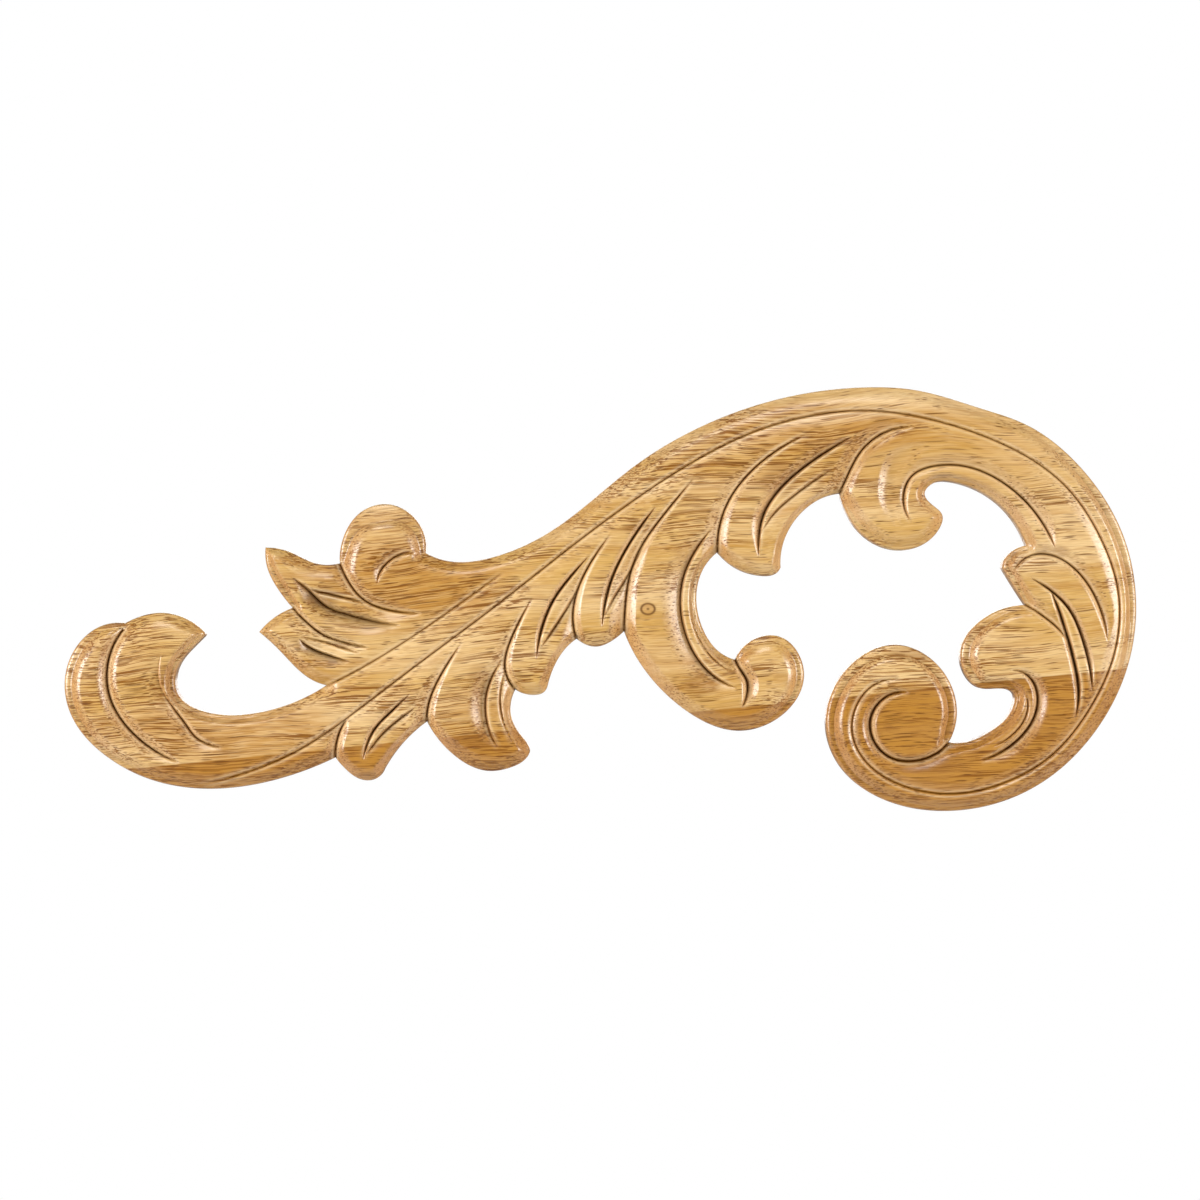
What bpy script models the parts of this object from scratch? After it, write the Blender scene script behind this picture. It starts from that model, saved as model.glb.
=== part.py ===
"""Pressed wooden applique: an acanthus scroll carved in one piece of light hardwood, flat on the back.

Metres, +Z up. The applique is upright, as on a door or a wall: x runs along it, z is up, and the
carved front faces -Y. The flat back lies on y = 0, and the origin is the middle of the back.
"""

from collections import namedtuple

import bmesh
import bpy
import numpy as np
from mathutils import Vector
from mathutils.geometry import delaunay_2d_cdt

MM = 0.001

# Driving sizes of the whole piece, in millimetres.
LENGTH = 240.0
THICKNESS = 8.2
CROWN = 0.7
CROWN_REACH = 9.0

# The edge, in millimetres: a straight wall, a rounded lip round the foot of the carving, and a
# shoulder that rises from the lip to the leaves. The ledge of a broad lip climbs a little.
WALL = 4.7
LIP_HEIGHT = 5.7
LIP_ROUND = 0.8
LEDGE_SLOPE = 0.22
WIDTH_BLEND = 2.5

# Fineness of the solid, in millimetres.
EDGE_STEP = 2.3
CUT_STEP = 3.0
FIELD_STEP = 5.0
CLEAR_OF_FIELD = 2.6
CLEAR_OF_EDGE = 2.8
FIELD_INSET = 3.1
LEAST_LEDGE = 0.35
DEEPEST = 2.8
TIE = 1e-9

# The drawing is a square sheet, 1200 units a side, x to the right and y down.
SHEET_LEFT, SHEET_RIGHT = 64.6, 1136.2
SHEET_TOP, SHEET_BOTTOM = 387.2, 811.0
SHEET_MIDDLE = np.array([(SHEET_LEFT + SHEET_RIGHT) / 2, (SHEET_TOP + SHEET_BOTTOM) / 2])
SCALE = LENGTH / (SHEET_RIGHT - SHEET_LEFT)

# The outline, from the tip of the hook over its top, down, and along the lower side to the right.
# Each run is a smooth curve through its knots that ends on the first knot of the next run, in a
# corner: the tip of a leaf or the notch between two. The widths of lip and shoulder are numbers, or
# rows of them spaced evenly along the run. Bevel is 0 for a rounded shoulder and 1 for a flat one.
Run = namedtuple("Run", "knots lip shoulder bevel", defaults=(0,))
OUTLINE = {
    "hook tip": Run(((203.6, 636.6), (205, 633.6)), 0.6, 2.0),
    "hook lip": Run(((203, 630.4), (185, 618), (158.4, 612.7), (140, 616.5)), 0.6, (2.4, 3.4, 3.6)),
    "hook": Run(
        ((125.3, 623), (101, 626), (78.1, 644.3), (64.6, 683), (72.5, 718), (105.3, 755.5),
         (151.5, 779.8), (209.4, 788.8), (279.6, 778.7)),
        (0.9, 1.8, 1.5, 1.1, 0.7, 0.6, 0.6), (3.2, 2.4, 2.4, 2.6, 3.0, 3.0, 2.6),
    ),
    "leaf 1 near": Run(
        ((335.4, 757.5), (345.9, 769.3), (357.4, 777.9), (367, 780.4), (377.5, 777.9)),
        0.5, (1.5, 1.7, 2.4), (1, 0.8, 0),
    ),
    "leaf 1 far": Run(((384.2, 769.3), (403.3, 742.5)), 0.7, 0.9, 0.6),
    "leaf 2": Run(
        ((427, 721.5), (451, 752.5), (488, 770.9), (512, 767), (524.5, 760), (529.8, 751), (525.5, 741),
         (517, 730), (510.5, 713)),
        (0.5, 0.5, 0.5, 0.5, 0.7, 0.7), (1.8, 2.4, 3.4, 2.8, 1.0, 0.9), (1, 1, 0, 0, 0.5, 0.6),
    ),
    "leaf 3 near": Run(((515.2, 689.5), (532.5, 695), (543.5, 692.5)), 0.5, (1.8, 2.8, 2.6), (1, 0, 0)),
    "leaf 3 far": Run(((547.5, 686), (554.8, 665), (566, 648)), 0.7, 0.9, 0.6),
    "leaf 4": Run(((576.6, 638.8), (599.9, 646.2), (612.5, 640.5)), 0.5, (1.8, 2.8, 2.2), (1, 0, 0.3)),
    "C curl": Run(
        ((624, 631.2), (632, 649.5), (647, 673), (683.5, 708.8), (739.4, 730.8), (789.4, 708.4),
         (804, 672), (779, 636.2), (750, 641.5)),
        (0.5, 0.5, 0.5, 0.6, 1.2, 1.8, 1.2, 0.8), (2.3, 2.3, 2.4, 3.0, 2.6, 2.2, 3.0, 2.6),
        (1, 1, 0.8, 0.3, 0, 0, 0, 0),
    ),
    "C curl inside": Run(
        ((735.1, 659.5), (718.8, 651.3), (701.5, 625.4), (696.4, 596), (703, 569.5)),
        1.0, 0.8, 0.5,
    ),
    "leaf 6 near": Run(
        ((717.3, 552.4), (737, 568.8), (760, 575.8), (776, 573.5)),
        0.5, (1.9, 2.6, 2.8), (0.8, 0.4, 0),
    ),
    "leaf 6 far": Run(
        ((780.6, 567.5), (782.9, 544.5), (796.9, 517.8), (821.2, 498.6)),
        0.6, 1.0, (0.8, 0.8, 0.2),
    ),
    "leaf 7": Run(
        ((839.4, 493.4), (846, 512), (858.5, 531), (894, 550), (937.3, 531.8), (942.4, 515.2),
         (929.7, 502.4), (924.6, 493.5), (932, 484), (950.1, 481.8), (995, 501)),
        (0.5, 1.3, 0.9, 0.7, 0.9, 0.7, 0.7, 0.7), (2.6, 2.4, 3.0, 2.6, 1.2, 1.2, 1.6, 1.6),
        (0.6, 0.4, 0, 0, 0.2, 0.2, 0, 0),
    ),
    "leaf 8 near": Run(((1026.5, 545.5), (1017, 548), (1009, 553.5), (1003.5, 561)), 1.0, 1.4),
    "leaf 8 far": Run(((1002.3, 568), (1013, 585.5)), (1.3, 0.8), 1.3, 0.3),
    "curl 9": Run(
        ((1025.7, 605), (982, 619.3), (960.3, 655), (979.5, 688), (1004.6, 689), (1013.3, 693),
         (1012.6, 708.2), (993, 729.5), (966, 742)),
        (0.8, 1.4, 1.8, 1.8, 1.2, 0.8, 0.8, 0.8), (2.4, 2.0, 2.2, 2.2, 1.6, 1.2, 1.2, 1.2),
    ),
    "big scroll": Run(
        ((948.8, 742.4), (956.9, 714.4), (942.4, 670.5), (896.5, 644.6), (849.5, 666), (826, 725.9),
         (842, 769), (885.8, 800.5), (947.6, 811), (1018, 795.5), (1058, 771), (1087.5, 741.5),
         (1126, 671.9), (1136.2, 607.6), (1120.7, 529), (1083, 470), (1024, 423.5), (979.4, 407.8),
         (915.7, 390), (864.6, 387.2), (799.5, 394.3), (715.3, 420), (632.5, 467.3), (555.2, 528.3),
         (496, 556.2), (450, 561.2)),
        (2.0, 2.0, 0.8, 0.8, 2.0, 0.8, 0.6, 0.6, 0.6), (1.8, 1.8, 2.6, 2.4, 1.4, 3.0, 3.4, 2.8, 2.4),
    ),
    "crest": Run(
        ((425.6, 552.8), (424.1, 534.6), (409.4, 513), (387.8, 504), (362.2, 511), (344.4, 534.6)),
        (1.4, 1.8, 3.0, 4.2, 3.2, 1.9, 1.6), (2.6, 3.0, 2.4, 1.8, 2.4, 3.2, 3.0),
    ),
    "upper point near": Run(((339.7, 563.2), (313.8, 562.7), (288.3, 551.2)), 0.5, (3.6, 3.6, 1.6)),
    "upper point far": Run(((265.5, 547.5), (268, 570), (278.6, 590)), (0.6, 1.5, 1.3), 1.2, 0.3),
    "lower point near": Run(((292.4, 607.7), (269.8, 621)), (0.6, 0.9, 0.6), 1.4, 0.3),
    "lower point far": Run(((259.2, 632), (280.8, 651.8), (310, 678.8)), 0.5, (1.6, 3.4, 3.0)),
    "stem top": Run(
        ((326.3, 685.3), (298.7, 700.2), (250, 713.8), (208.2, 712.4), (177.6, 693.3), (177.6, 667.8),
         (194.1, 646.1)),
        (0.6, 0.6, 0.9, 1.0, 1.0, 0.8), (2.6, 2.0, 1.4, 1.1, 1.1, 1.4), (0, 0, 0.2, 0.3, 0.3, 0),
    ),
}

# How the wood rises from the bottom of a cut: t is 0 at the bottom and 1 at the far edge of that side.
RISES = {
    "round": lambda t: 1 - np.sin(0.5 * np.pi * t),
    "slope": lambda t: (1 - t) ** 1.3,
    "bevel": lambda t: 0.6 * (1 - t) + 0.4 * (1 - t) ** 2,
    "swale": lambda t: 0.5 + 0.5 * np.cos(np.pi * t),
    "cove": lambda t: np.cos(0.5 * np.pi * t),
}
SHARP, ROUNDED, FULL = (0.6, "round"), (1.5, "round"), (2.8, "round")
BEVEL, BROAD_BEVEL = (1.9, "bevel"), (2.6, "bevel")
SOFT, EASY, BROAD = (2.6, "slope"), (2.9, "slope"), (3.8, "slope")
LONG, SWALE, COVE = (4.8, "slope"), (4.8, "swale"), (3.0, "cove")

# The carved lines, each a smooth curve through its knots. Left and right are the sides as one goes
# along it, each with a width in millimetres and a rise. A cut fades out at the ends that fades names,
# within a few millimetres or, where it says long, over its whole length, and it narrows as it fades.
Cut = namedtuple("Cut", "depth left right fades knots")
CUTS = {
    "stem above": Cut(
        0.7, EASY, SOFT, "end",
        ((327, 686), (344.4, 677.5), (377.6, 659), (431, 624.5), (483.7, 587), (505, 571.5)),
    ),
    "scroll line": Cut(
        0.8, ROUNDED, SOFT, "start end",
        ((200, 784.5), (250, 771), (300, 749.3), (347.8, 717.7), (405.2, 674), (491.3, 609.5),
         (573.6, 545), (636, 499), (694, 461.6), (758.7, 430.4), (814.8, 415.6), (867, 411.4),
         (934.8, 421.5), (1001, 444.5), (1062, 484.6), (1098.5, 537), (1116.9, 593.6), (1112.4, 654.5),
         (1088.8, 707.3), (1048, 756.7), (1004.6, 781.6), (960.2, 792.8), (909.3, 787.7), (862.1, 757.8),
         (851, 728.4), (865.9, 690.2), (902.9, 678.7)),
    ),
    "eye of the scroll": Cut(
        2.0, ROUNDED, FULL, "start",
        ((909.3, 692.1), (883.8, 697.8), (870.4, 716.9), (873.6, 741.2), (892.7, 758.4), (915.7, 760.3),
         (948.8, 742.4)),
    ),
    "hook outer": Cut(
        2.0, FULL, FULL, "end",
        ((123.5, 630), (109.3, 661.4), (110.6, 695.9), (129.1, 727.8), (159.7, 752.6), (182.4, 762.6)),
    ),
    "hook inner": Cut(
        1.3, ROUNDED, EASY, "start end",
        ((166, 692), (171, 702), (180, 715), (187.6, 725), (195.2, 735.2), (210.5, 744.1), (225.8, 748)),
    ),
    "crest foot": Cut(
        1.7, FULL, EASY, "end",
        ((339.7, 563.2), (346.9, 578), (358, 594), (369, 602.8), (392, 610.7), (423, 613.5)),
    ),
    "crest eye": Cut(
        1.3, ROUNDED, EASY, "start end",
        ((416, 554), (400.5, 555), (388, 563), (379.8, 574.6), (378.2, 584)),
    ),
    "upper point vein": Cut(
        2.3, ROUNDED, BROAD, "start end",
        ((293.4, 577.7), (311.8, 592.9), (325.9, 605.9), (347.6, 614.6), (374.7, 621.6), (401.8, 625.4)),
    ),
    "points parting": Cut(
        1.5, ROUNDED, BROAD, "end",
        ((293, 608), (307.5, 622.2), (328, 636.8), (342.2, 641.7), (371.4, 648.2)),
    ),
    "lower point vein": Cut(
        1.7, SHARP, BROAD, "start end",
        ((300, 637.5), (307.5, 645), (328, 654.7), (352, 661.7)),
    ),
    "leaf 1 edge": Cut(
        1.6, BEVEL, SOFT, "start",
        ((351, 716), (343, 726), (337.6, 740.6), (335.4, 757.5)),
    ),
    "leaf 1 vein": Cut(
        1.5, SHARP, ROUNDED, "start end",
        ((411, 693.5), (389.3, 714), (375.3, 729.3), (367.6, 745.9), (364, 760)),
    ),
    "leaf 2 edge": Cut(
        1.6, BEVEL, BROAD, "start long",
        ((463, 642), (443.4, 671.4), (428.7, 705.9), (427, 721.5)),
    ),
    "leaf 2 hollow": Cut(
        1.5, SHARP, SWALE, "start end",
        ((505, 655), (493.5, 675), (487.4, 691.8), (486.3, 714.8), (493.1, 737.8), (500, 748)),
    ),
    "leaf 3 edge": Cut(
        1.6, BEVEL, BROAD, "start long",
        ((533.5, 597), (513.5, 634.4), (505.3, 668), (515.2, 689.5)),
    ),
    "leaf 3 vein": Cut(
        1.6, SHARP, ROUNDED, "start end",
        ((590, 555), (570, 578), (554, 600), (544.8, 620.7), (540.2, 636.7), (537, 660)),
    ),
    "leaf 4 edge": Cut(
        1.6, BEVEL, BROAD, "start long",
        ((612.5, 532.5), (591, 562.6), (575, 600), (573.4, 624.5), (576.6, 638.8)),
    ),
    "leaf 4 vein": Cut(
        1.6, SHARP, ROUNDED, "start end",
        ((655.7, 507), (636, 534), (620.5, 560), (611, 582), (605.5, 603), (602, 628)),
    ),
    "C curl edge": Cut(
        2.0, BROAD_BEVEL, BROAD, "start long",
        ((695.3, 477), (662.5, 516.5), (633.7, 562.6), (625.3, 606), (624, 631.2)),
    ),
    "C curl hollow": Cut(
        1.8, SHARP, LONG, "start end",
        ((713, 527), (698, 547), (684.8, 573), (680.3, 599), (686.8, 638), (705, 668), (737, 688)),
    ),
    "ball edge": Cut(
        2.1, BROAD_BEVEL, ROUNDED, "end",
        ((735.1, 659.5), (740.8, 671), (746.5, 681.2), (747.1, 690), (741, 707)),
    ),
    "leaf 6 edge": Cut(
        1.7, FULL, BROAD, "start long",
        ((809.7, 433.6), (764, 460), (727.5, 503), (717.3, 552.4)),
    ),
    "leaf 6 vein": Cut(
        1.8, SHARP, FULL, "start end",
        ((851.8, 437.4), (812.2, 461.6), (776, 494), (762, 519), (758.5, 540), (758, 558)),
    ),
    "leaf 7 edge": Cut(
        1.9, FULL, BROAD, "start",
        ((914.4, 428), (884, 433), (861, 451), (848, 474), (839.4, 493.4)),
    ),
    "leaf 7 groove": Cut(
        1.5, ROUNDED, EASY, "start end",
        ((1054, 551), (1044, 528), (1030, 508), (1002, 483), (963, 466.5), (932.2, 466.7), (911.8, 475.7),
         (902.8, 497), (905, 513), (911, 523)),
    ),
    "leaf 7 hollow": Cut(
        1.1, SWALE, COVE, "start end",
        ((930, 446), (907, 454), (895, 466), (890, 482), (889, 498), (892, 513), (899, 528)),
    ),
    "leaf 8 edge": Cut(
        1.3, EASY, ROUNDED, "start end",
        ((1011, 577), (1016, 566), (1031.4, 555.3), (1052, 556), (1072.2, 568.1), (1092, 594),
         (1102, 620), (1105.4, 642)),
    ),
    "leaf 8 vein": Cut(
        1.7, ROUNDED, SHARP, "start end",
        ((1028, 578), (1048, 590), (1067.1, 609), (1080, 637), (1087, 663), (1090, 692)),
    ),
    "leaf 8 second vein": Cut(
        1.8, SHARP, ROUNDED, "start end",
        ((1046.7, 587), (1056, 606), (1064.6, 631), (1073, 662), (1077.3, 690), (1072.5, 719)),
    ),
    "leaf 9 parting": Cut(
        1.3, EASY, ROUNDED, "end",
        ((1025.7, 605), (1042.9, 617), (1056, 628), (1066, 641)),
    ),
    "curl 9 hollow": Cut(
        1.8, FULL, ROUNDED, "start end",
        ((1008, 670.5), (1021, 672), (1032, 682), (1036.5, 700), (1032, 719), (1020, 736), (1000.8, 751),
         (978, 760)),
    ),
}
FADE = 0.4
LONGEST_FADE = 9.0
NARROWEST = 0.3

WOOD = {"color": (0.62, 0.36, 0.15, 1), "roughness": 0.42, "metallic": 0.0}


def to_front(knots):
    """Drawing units to millimetres on the front, x and z from the middle of the back."""
    return (np.array(knots, float) - SHEET_MIDDLE) * (SCALE, -SCALE)


def smooth_curve(knots, step):
    """Points about a step apart on the cubic spline through the knots."""
    if len(knots) == 2:
        knots = np.insert(knots, 1, knots.mean(axis=0), axis=0)
    spans = np.hypot(*np.diff(knots, axis=0).T)
    slopes = np.diff(knots, axis=0) / spans[:, None]
    count = len(knots)
    system = np.zeros((count, count))
    target = np.zeros((count, 2))
    system[0, :2] = 1, -1
    system[-1, -2:] = 1, -1
    for i in range(1, count - 1):
        system[i, i - 1 : i + 2] = spans[i - 1], 2 * (spans[i - 1] + spans[i]), spans[i]
        target[i] = 6 * (slopes[i] - slopes[i - 1])
    bend = np.linalg.solve(system, target)
    points = []
    for i, span in enumerate(spans):
        pieces = max(1, round(span / step))
        for u in np.arange(pieces) / pieces * span:
            v = span - u
            points.append(
                (bend[i] * v**3 + bend[i + 1] * u**3) / (6 * span)
                + (knots[i] / span - bend[i] * span / 6) * v
                + (knots[i + 1] / span - bend[i + 1] * span / 6) * u
            )
    return np.array(points + [knots[-1]])


def outline_points(step):
    """The closed outline, with lip, shoulder and bevel at each point, blended past the corners."""
    runs = list(OUTLINE.values())
    points, widths = [], []
    for run, after in zip(runs, runs[1:] + runs[:1]):
        curve = smooth_curve(to_front(run.knots + after.knots[:1]), step)[:-1]
        along = np.linspace(0, 1, len(curve))
        points.extend(curve)
        rows = [np.atleast_1d(value) for value in run[1:]]
        widths.extend(zip(*(np.interp(along, np.linspace(0, 1, len(row)), row) for row in rows)))
    reach = round(WIDTH_BLEND / step)
    blended = sum(np.roll(widths, i, axis=0) for i in range(-reach, reach + 1)) / (2 * reach + 1)
    return np.array(points), blended


def nearest(points, line):
    """For each point, its distance to the line, where along it in segments, and its side: 1 left, -1 right.

    In the fan beyond a sharp corner both segments are equally near. The one that the point faces
    more squarely tells the side.
    """
    best = np.full(len(points), np.inf)
    place, square, side = np.zeros((3, len(points)))
    for i, (corner, run) in enumerate(zip(line[:-1], np.diff(line, axis=0))):
        away = points - corner
        part = np.clip(away @ run / (run @ run), 0, 1)
        distance = np.hypot(*(away - part[:, None] * run).T)
        turn = (run[0] * away[:, 1] - run[1] * away[:, 0]) / np.hypot(*run)
        closer = (distance < best - TIE) | ((distance < best + TIE) & (np.abs(turn) > square))
        best[closer] = distance[closer]
        place[closer] = i + part[closer]
        square[closer] = np.abs(turn)[closer]
        side[closer] = np.where(turn[closer] < 0, -1, 1)
    return best, place, side


def edge_fall(distance, lip, shoulder, bevel):
    """How far the wood lies below the leaves' top at a distance in from the outline."""
    top = THICKNESS - CROWN
    t = np.clip(distance / LIP_ROUND, 0, 1)
    ledge = LIP_HEIGHT + LEDGE_SLOPE * np.clip(np.minimum(distance, lip) - LIP_ROUND, 0, None)
    rounded = WALL + (ledge - WALL) * np.sqrt(1 - (1 - t) ** 2)
    t = np.clip((distance - lip) / shoulder, 0, 1)
    climb = (1 - bevel) * RISES["round"](t) + bevel * RISES["bevel"](t)
    return np.where(distance < lip, top - rounded, (top - rounded) * climb)


def cut_fall(points, cut, step):
    """How far a cut goes below the leaves' top."""
    line = smooth_curve(to_front(cut.knots), step)
    distance, place, side = nearest(points, line)
    last = len(line) - 1
    length = np.hypot(*np.diff(line, axis=0).T).sum()
    fade = 1 if "long" in cut.fades else min(FADE, LONGEST_FADE / length)
    depth = np.ones(len(points))
    for word, part in (("start", place / last), ("end", 1 - place / last)):
        if word in cut.fades:
            depth *= np.sin(0.5 * np.pi * np.clip(part / fade, 0, 1))
    fall = np.zeros(len(points))
    for (width, rise), which in ((cut.left, 1), (cut.right, -1)):
        reach = width * np.maximum(depth, NARROWEST)
        here = (side == which) & (distance < reach)
        fall[here] = (cut.depth * depth)[here] * RISES[rise]((distance / reach)[here])
    return fall


def front_height(points, outline, widths):
    """Height of the carved front above the back, in millimetres."""
    closed = np.vstack([outline, outline[:1]])
    distance, place, _ = nearest(points, closed)
    lip, shoulder, bevel = widths[np.round(place).astype(int) % len(outline)].T
    swell = np.clip((distance - lip) / CROWN_REACH, 0, 1)
    squares = edge_fall(distance, lip, shoulder, bevel) ** 2
    for cut in CUTS.values():
        squares += cut_fall(points, cut, CUT_STEP / 2) ** 2
    return np.maximum(THICKNESS - CROWN + CROWN * swell * (2 - swell) - np.sqrt(squares), DEEPEST)


def normals(line, closed):
    """Unit normals to the left of each point of a line."""
    if closed:
        ahead, behind = np.roll(line, -1, axis=0), np.roll(line, 1, axis=0)
    else:
        ahead = np.vstack([line[1:], line[-1:]])
        behind = np.vstack([line[:1], line[:-1]])
    along = (ahead - behind) / np.hypot(*(ahead - behind).T)[:, None]
    return np.column_stack([-along[:, 1], along[:, 0]])


class Net:
    """The points and lines that the front's triangles keep to."""

    def __init__(self, outline):
        self.points = list(outline)
        self.lines = []
        self.closed = np.vstack([outline, outline[:1]])

    def add(self, line, keep):
        """Adds the points of a line that are kept, and the stretches between neighbours that both are."""
        last = None
        for point, kept in zip(line, keep):
            if kept:
                self.points.append(point)
                if last is not None:
                    self.lines.append((last, len(self.points) - 1))
            last = len(self.points) - 1 if kept else None

    def clear(self, line, distance):
        """Which points of a line are inside the outline and at least the distance from it."""
        gap, _, side = nearest(line, self.closed)
        return (gap > distance) & (side > 0)


def front_net(outline, widths):
    """Rings along the lip and the shoulder, the cuts with their edges, and a field of points between."""
    net = Net(outline)
    inward = normals(outline, True)
    lip, shoulder, _ = widths.T
    rounded = np.minimum(lip, LIP_ROUND)
    ledge = lip - rounded
    whole = np.full(len(lip), True)
    rings = [(rounded, whole), (lip, ledge > LEAST_LEDGE)]
    rings += [(lip + part * shoulder, whole) for part in (0.45, 1)]
    for offset, wanted in rings:
        ring = outline + inward * offset[:, None]
        gap, _, side = nearest(ring, net.closed)
        keep = wanted & (gap > 0.93 * offset) & (side > 0)
        net.add(np.vstack([ring, ring[:1]]), np.append(keep, keep[0]))
    spaced = {}
    for name, cut in CUTS.items():
        line = smooth_curve(to_front(cut.knots), CUT_STEP)
        spaced[name] = line
        net.add(line, net.clear(line, 0.5 * LIP_ROUND))
    for name, cut in CUTS.items():
        line = spaced[name]
        left = normals(line, False)
        others = [other for key, other in spaced.items() if key != name]
        for (width, _), sign in ((cut.left, 1), (cut.right, -1)):
            beside = line + sign * left * width
            keep = net.clear(beside, CLEAR_OF_EDGE)
            for other in others:
                keep &= nearest(beside, other)[0] > 0.5 * width
            net.add(beside, keep)
    field = field_points()
    field = field[net.clear(field, FIELD_INSET)]
    for point in field:
        if np.min(np.hypot(*(np.array(net.points) - point).T)) > CLEAR_OF_FIELD:
            net.points.append(point)
    return net


def field_points():
    """A grid of even triangles over the whole sheet."""
    low, high = to_front(((SHEET_LEFT, SHEET_BOTTOM), (SHEET_RIGHT, SHEET_TOP)))
    rows = np.arange(low[1], high[1], FIELD_STEP * np.sqrt(0.75))
    columns = np.arange(low[0], high[0], FIELD_STEP)
    return np.array([(x + FIELD_STEP / 2 * (i % 2), z) for i, z in enumerate(rows) for x in columns])


def triangles(points, lines, count):
    """Triangles inside the outline, which is the first count points."""
    vectors = [Vector(point) for point in points]
    ring = list(range(count))
    corners, _, faces, _, _, owners = delaunay_2d_cdt(vectors, lines, [ring], 0, 1e-4, True)
    inside = [face for face, owner in zip(faces, owners) if owner]
    return np.array([tuple(corner) for corner in corners]), inside


def wood():
    material = bpy.data.materials.new("light_hardwood")
    material.use_nodes = True
    shader = material.node_tree.nodes["Principled BSDF"]
    shader.inputs["Base Color"].default_value = WOOD["color"]
    shader.inputs["Roughness"].default_value = WOOD["roughness"]
    shader.inputs["Metallic"].default_value = WOOD["metallic"]
    return material


def applique():
    """The carved front, a straight wall down from its border, and the flat back."""
    outline, widths = outline_points(EDGE_STEP)
    net = front_net(outline, widths)
    corners, faces = triangles(net.points, net.lines, len(outline))
    heights = front_height(corners, outline, widths)
    body = bmesh.new()
    front = [body.verts.new((x * MM, -h * MM, z * MM)) for (x, z), h in zip(corners, heights)]
    for face in faces:
        body.faces.new([front[i] for i in face])
    border = [edge for edge in body.edges if edge.is_boundary]
    wall = bmesh.ops.extrude_edge_only(body, edges=border)["geom"]
    foot = {part for part in wall if isinstance(part, bmesh.types.BMVert)}
    for vert in foot:
        vert.co.y = 0
    edges = [part for part in wall if isinstance(part, bmesh.types.BMEdge)]
    rim = [edge for edge in edges if foot.issuperset(edge.verts)]
    bmesh.ops.triangle_fill(body, edges=rim, use_beauty=True)
    bmesh.ops.recalc_face_normals(body, faces=body.faces)
    mesh = bpy.data.meshes.new("scroll_applique")
    body.to_mesh(mesh)
    body.free()
    mesh.shade_smooth()
    mesh.set_sharp_from_angle(angle=np.radians(35))
    piece = bpy.data.objects.new("scroll_applique", mesh)
    mesh.materials.append(wood())
    bpy.context.collection.objects.link(piece)
    return piece


def main():
    for thing in list(bpy.data.objects):
        bpy.data.objects.remove(thing)
    applique()


main()
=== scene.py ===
# %% [markdown]
# # Pressed wooden applique
# A furniture onlay: an acanthus scroll about 240 mm long, pressed and carved from one piece of light
# hardwood, flat on the back so that it can be glued to a door or a frame. This notebook dresses the
# plain solid of it with finer carving on the same outline, gives it the wood with its pores and
# lacquer, and sets it in a pale studio.
#
# The solid comes first, because everything is measured from it. Its box is kept, and the
# finished piece is held within it.

# %% Load the solid
from collections import namedtuple

import bmesh
import bpy
import numpy as np
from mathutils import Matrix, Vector
from mathutils.geometry import delaunay_2d_cdt
from mathutils.kdtree import KDTree


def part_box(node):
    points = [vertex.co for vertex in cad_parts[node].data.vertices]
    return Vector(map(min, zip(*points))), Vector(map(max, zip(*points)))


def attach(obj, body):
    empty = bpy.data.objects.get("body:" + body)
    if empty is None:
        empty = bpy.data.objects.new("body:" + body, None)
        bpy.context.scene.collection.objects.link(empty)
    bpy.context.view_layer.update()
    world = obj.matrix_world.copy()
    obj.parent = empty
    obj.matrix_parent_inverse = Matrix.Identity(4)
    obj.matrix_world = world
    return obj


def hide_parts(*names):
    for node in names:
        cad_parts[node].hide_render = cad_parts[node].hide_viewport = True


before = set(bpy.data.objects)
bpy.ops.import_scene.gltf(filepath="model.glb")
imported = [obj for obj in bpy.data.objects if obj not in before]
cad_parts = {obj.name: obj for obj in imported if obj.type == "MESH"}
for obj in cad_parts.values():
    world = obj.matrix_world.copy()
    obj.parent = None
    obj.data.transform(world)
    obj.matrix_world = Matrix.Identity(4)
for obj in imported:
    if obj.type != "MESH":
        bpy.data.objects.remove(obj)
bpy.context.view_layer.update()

NODE = "scroll_applique"
LOW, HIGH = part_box(NODE)
MM = 0.001
LENGTH = (HIGH.x - LOW.x) / MM
THICKNESS = (HIGH.y - LOW.y) / MM
print(f"the solid is {LENGTH:.1f} mm long and {THICKNESS:.1f} mm thick")

# %% [markdown]
# ## The drawing
# A carver starts from a full-size drawing: the outline, then the lines to cut. Here both are short
# lists of knots with a smooth curve through them. The sheet is square, 1200 units a side, x to the
# right and y down, and the length of the solid gives its scale. Hundreds of straight bits would
# follow the edge as well, but then no line could be moved by hand.
#
# A run of the outline ends in a corner, at the tip of a leaf or the notch between two. Along it
# goes a lip, the ledge round the foot of the carving, and a shoulder that climbs from the ledge to
# the leaf. Both are in millimetres. The shoulder is round at 0 and a flat bevel at 1. Where a value
# changes on the way, it is given as a row of values, evenly spaced along the run.

# %% The outline
SHEET_LEFT, SHEET_RIGHT = 64.6, 1136.2
SHEET_TOP, SHEET_BOTTOM = 387.2, 811.0
SHEET_MIDDLE = np.array([(SHEET_LEFT + SHEET_RIGHT) / 2, (SHEET_TOP + SHEET_BOTTOM) / 2])
SCALE = LENGTH / (SHEET_RIGHT - SHEET_LEFT)

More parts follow.
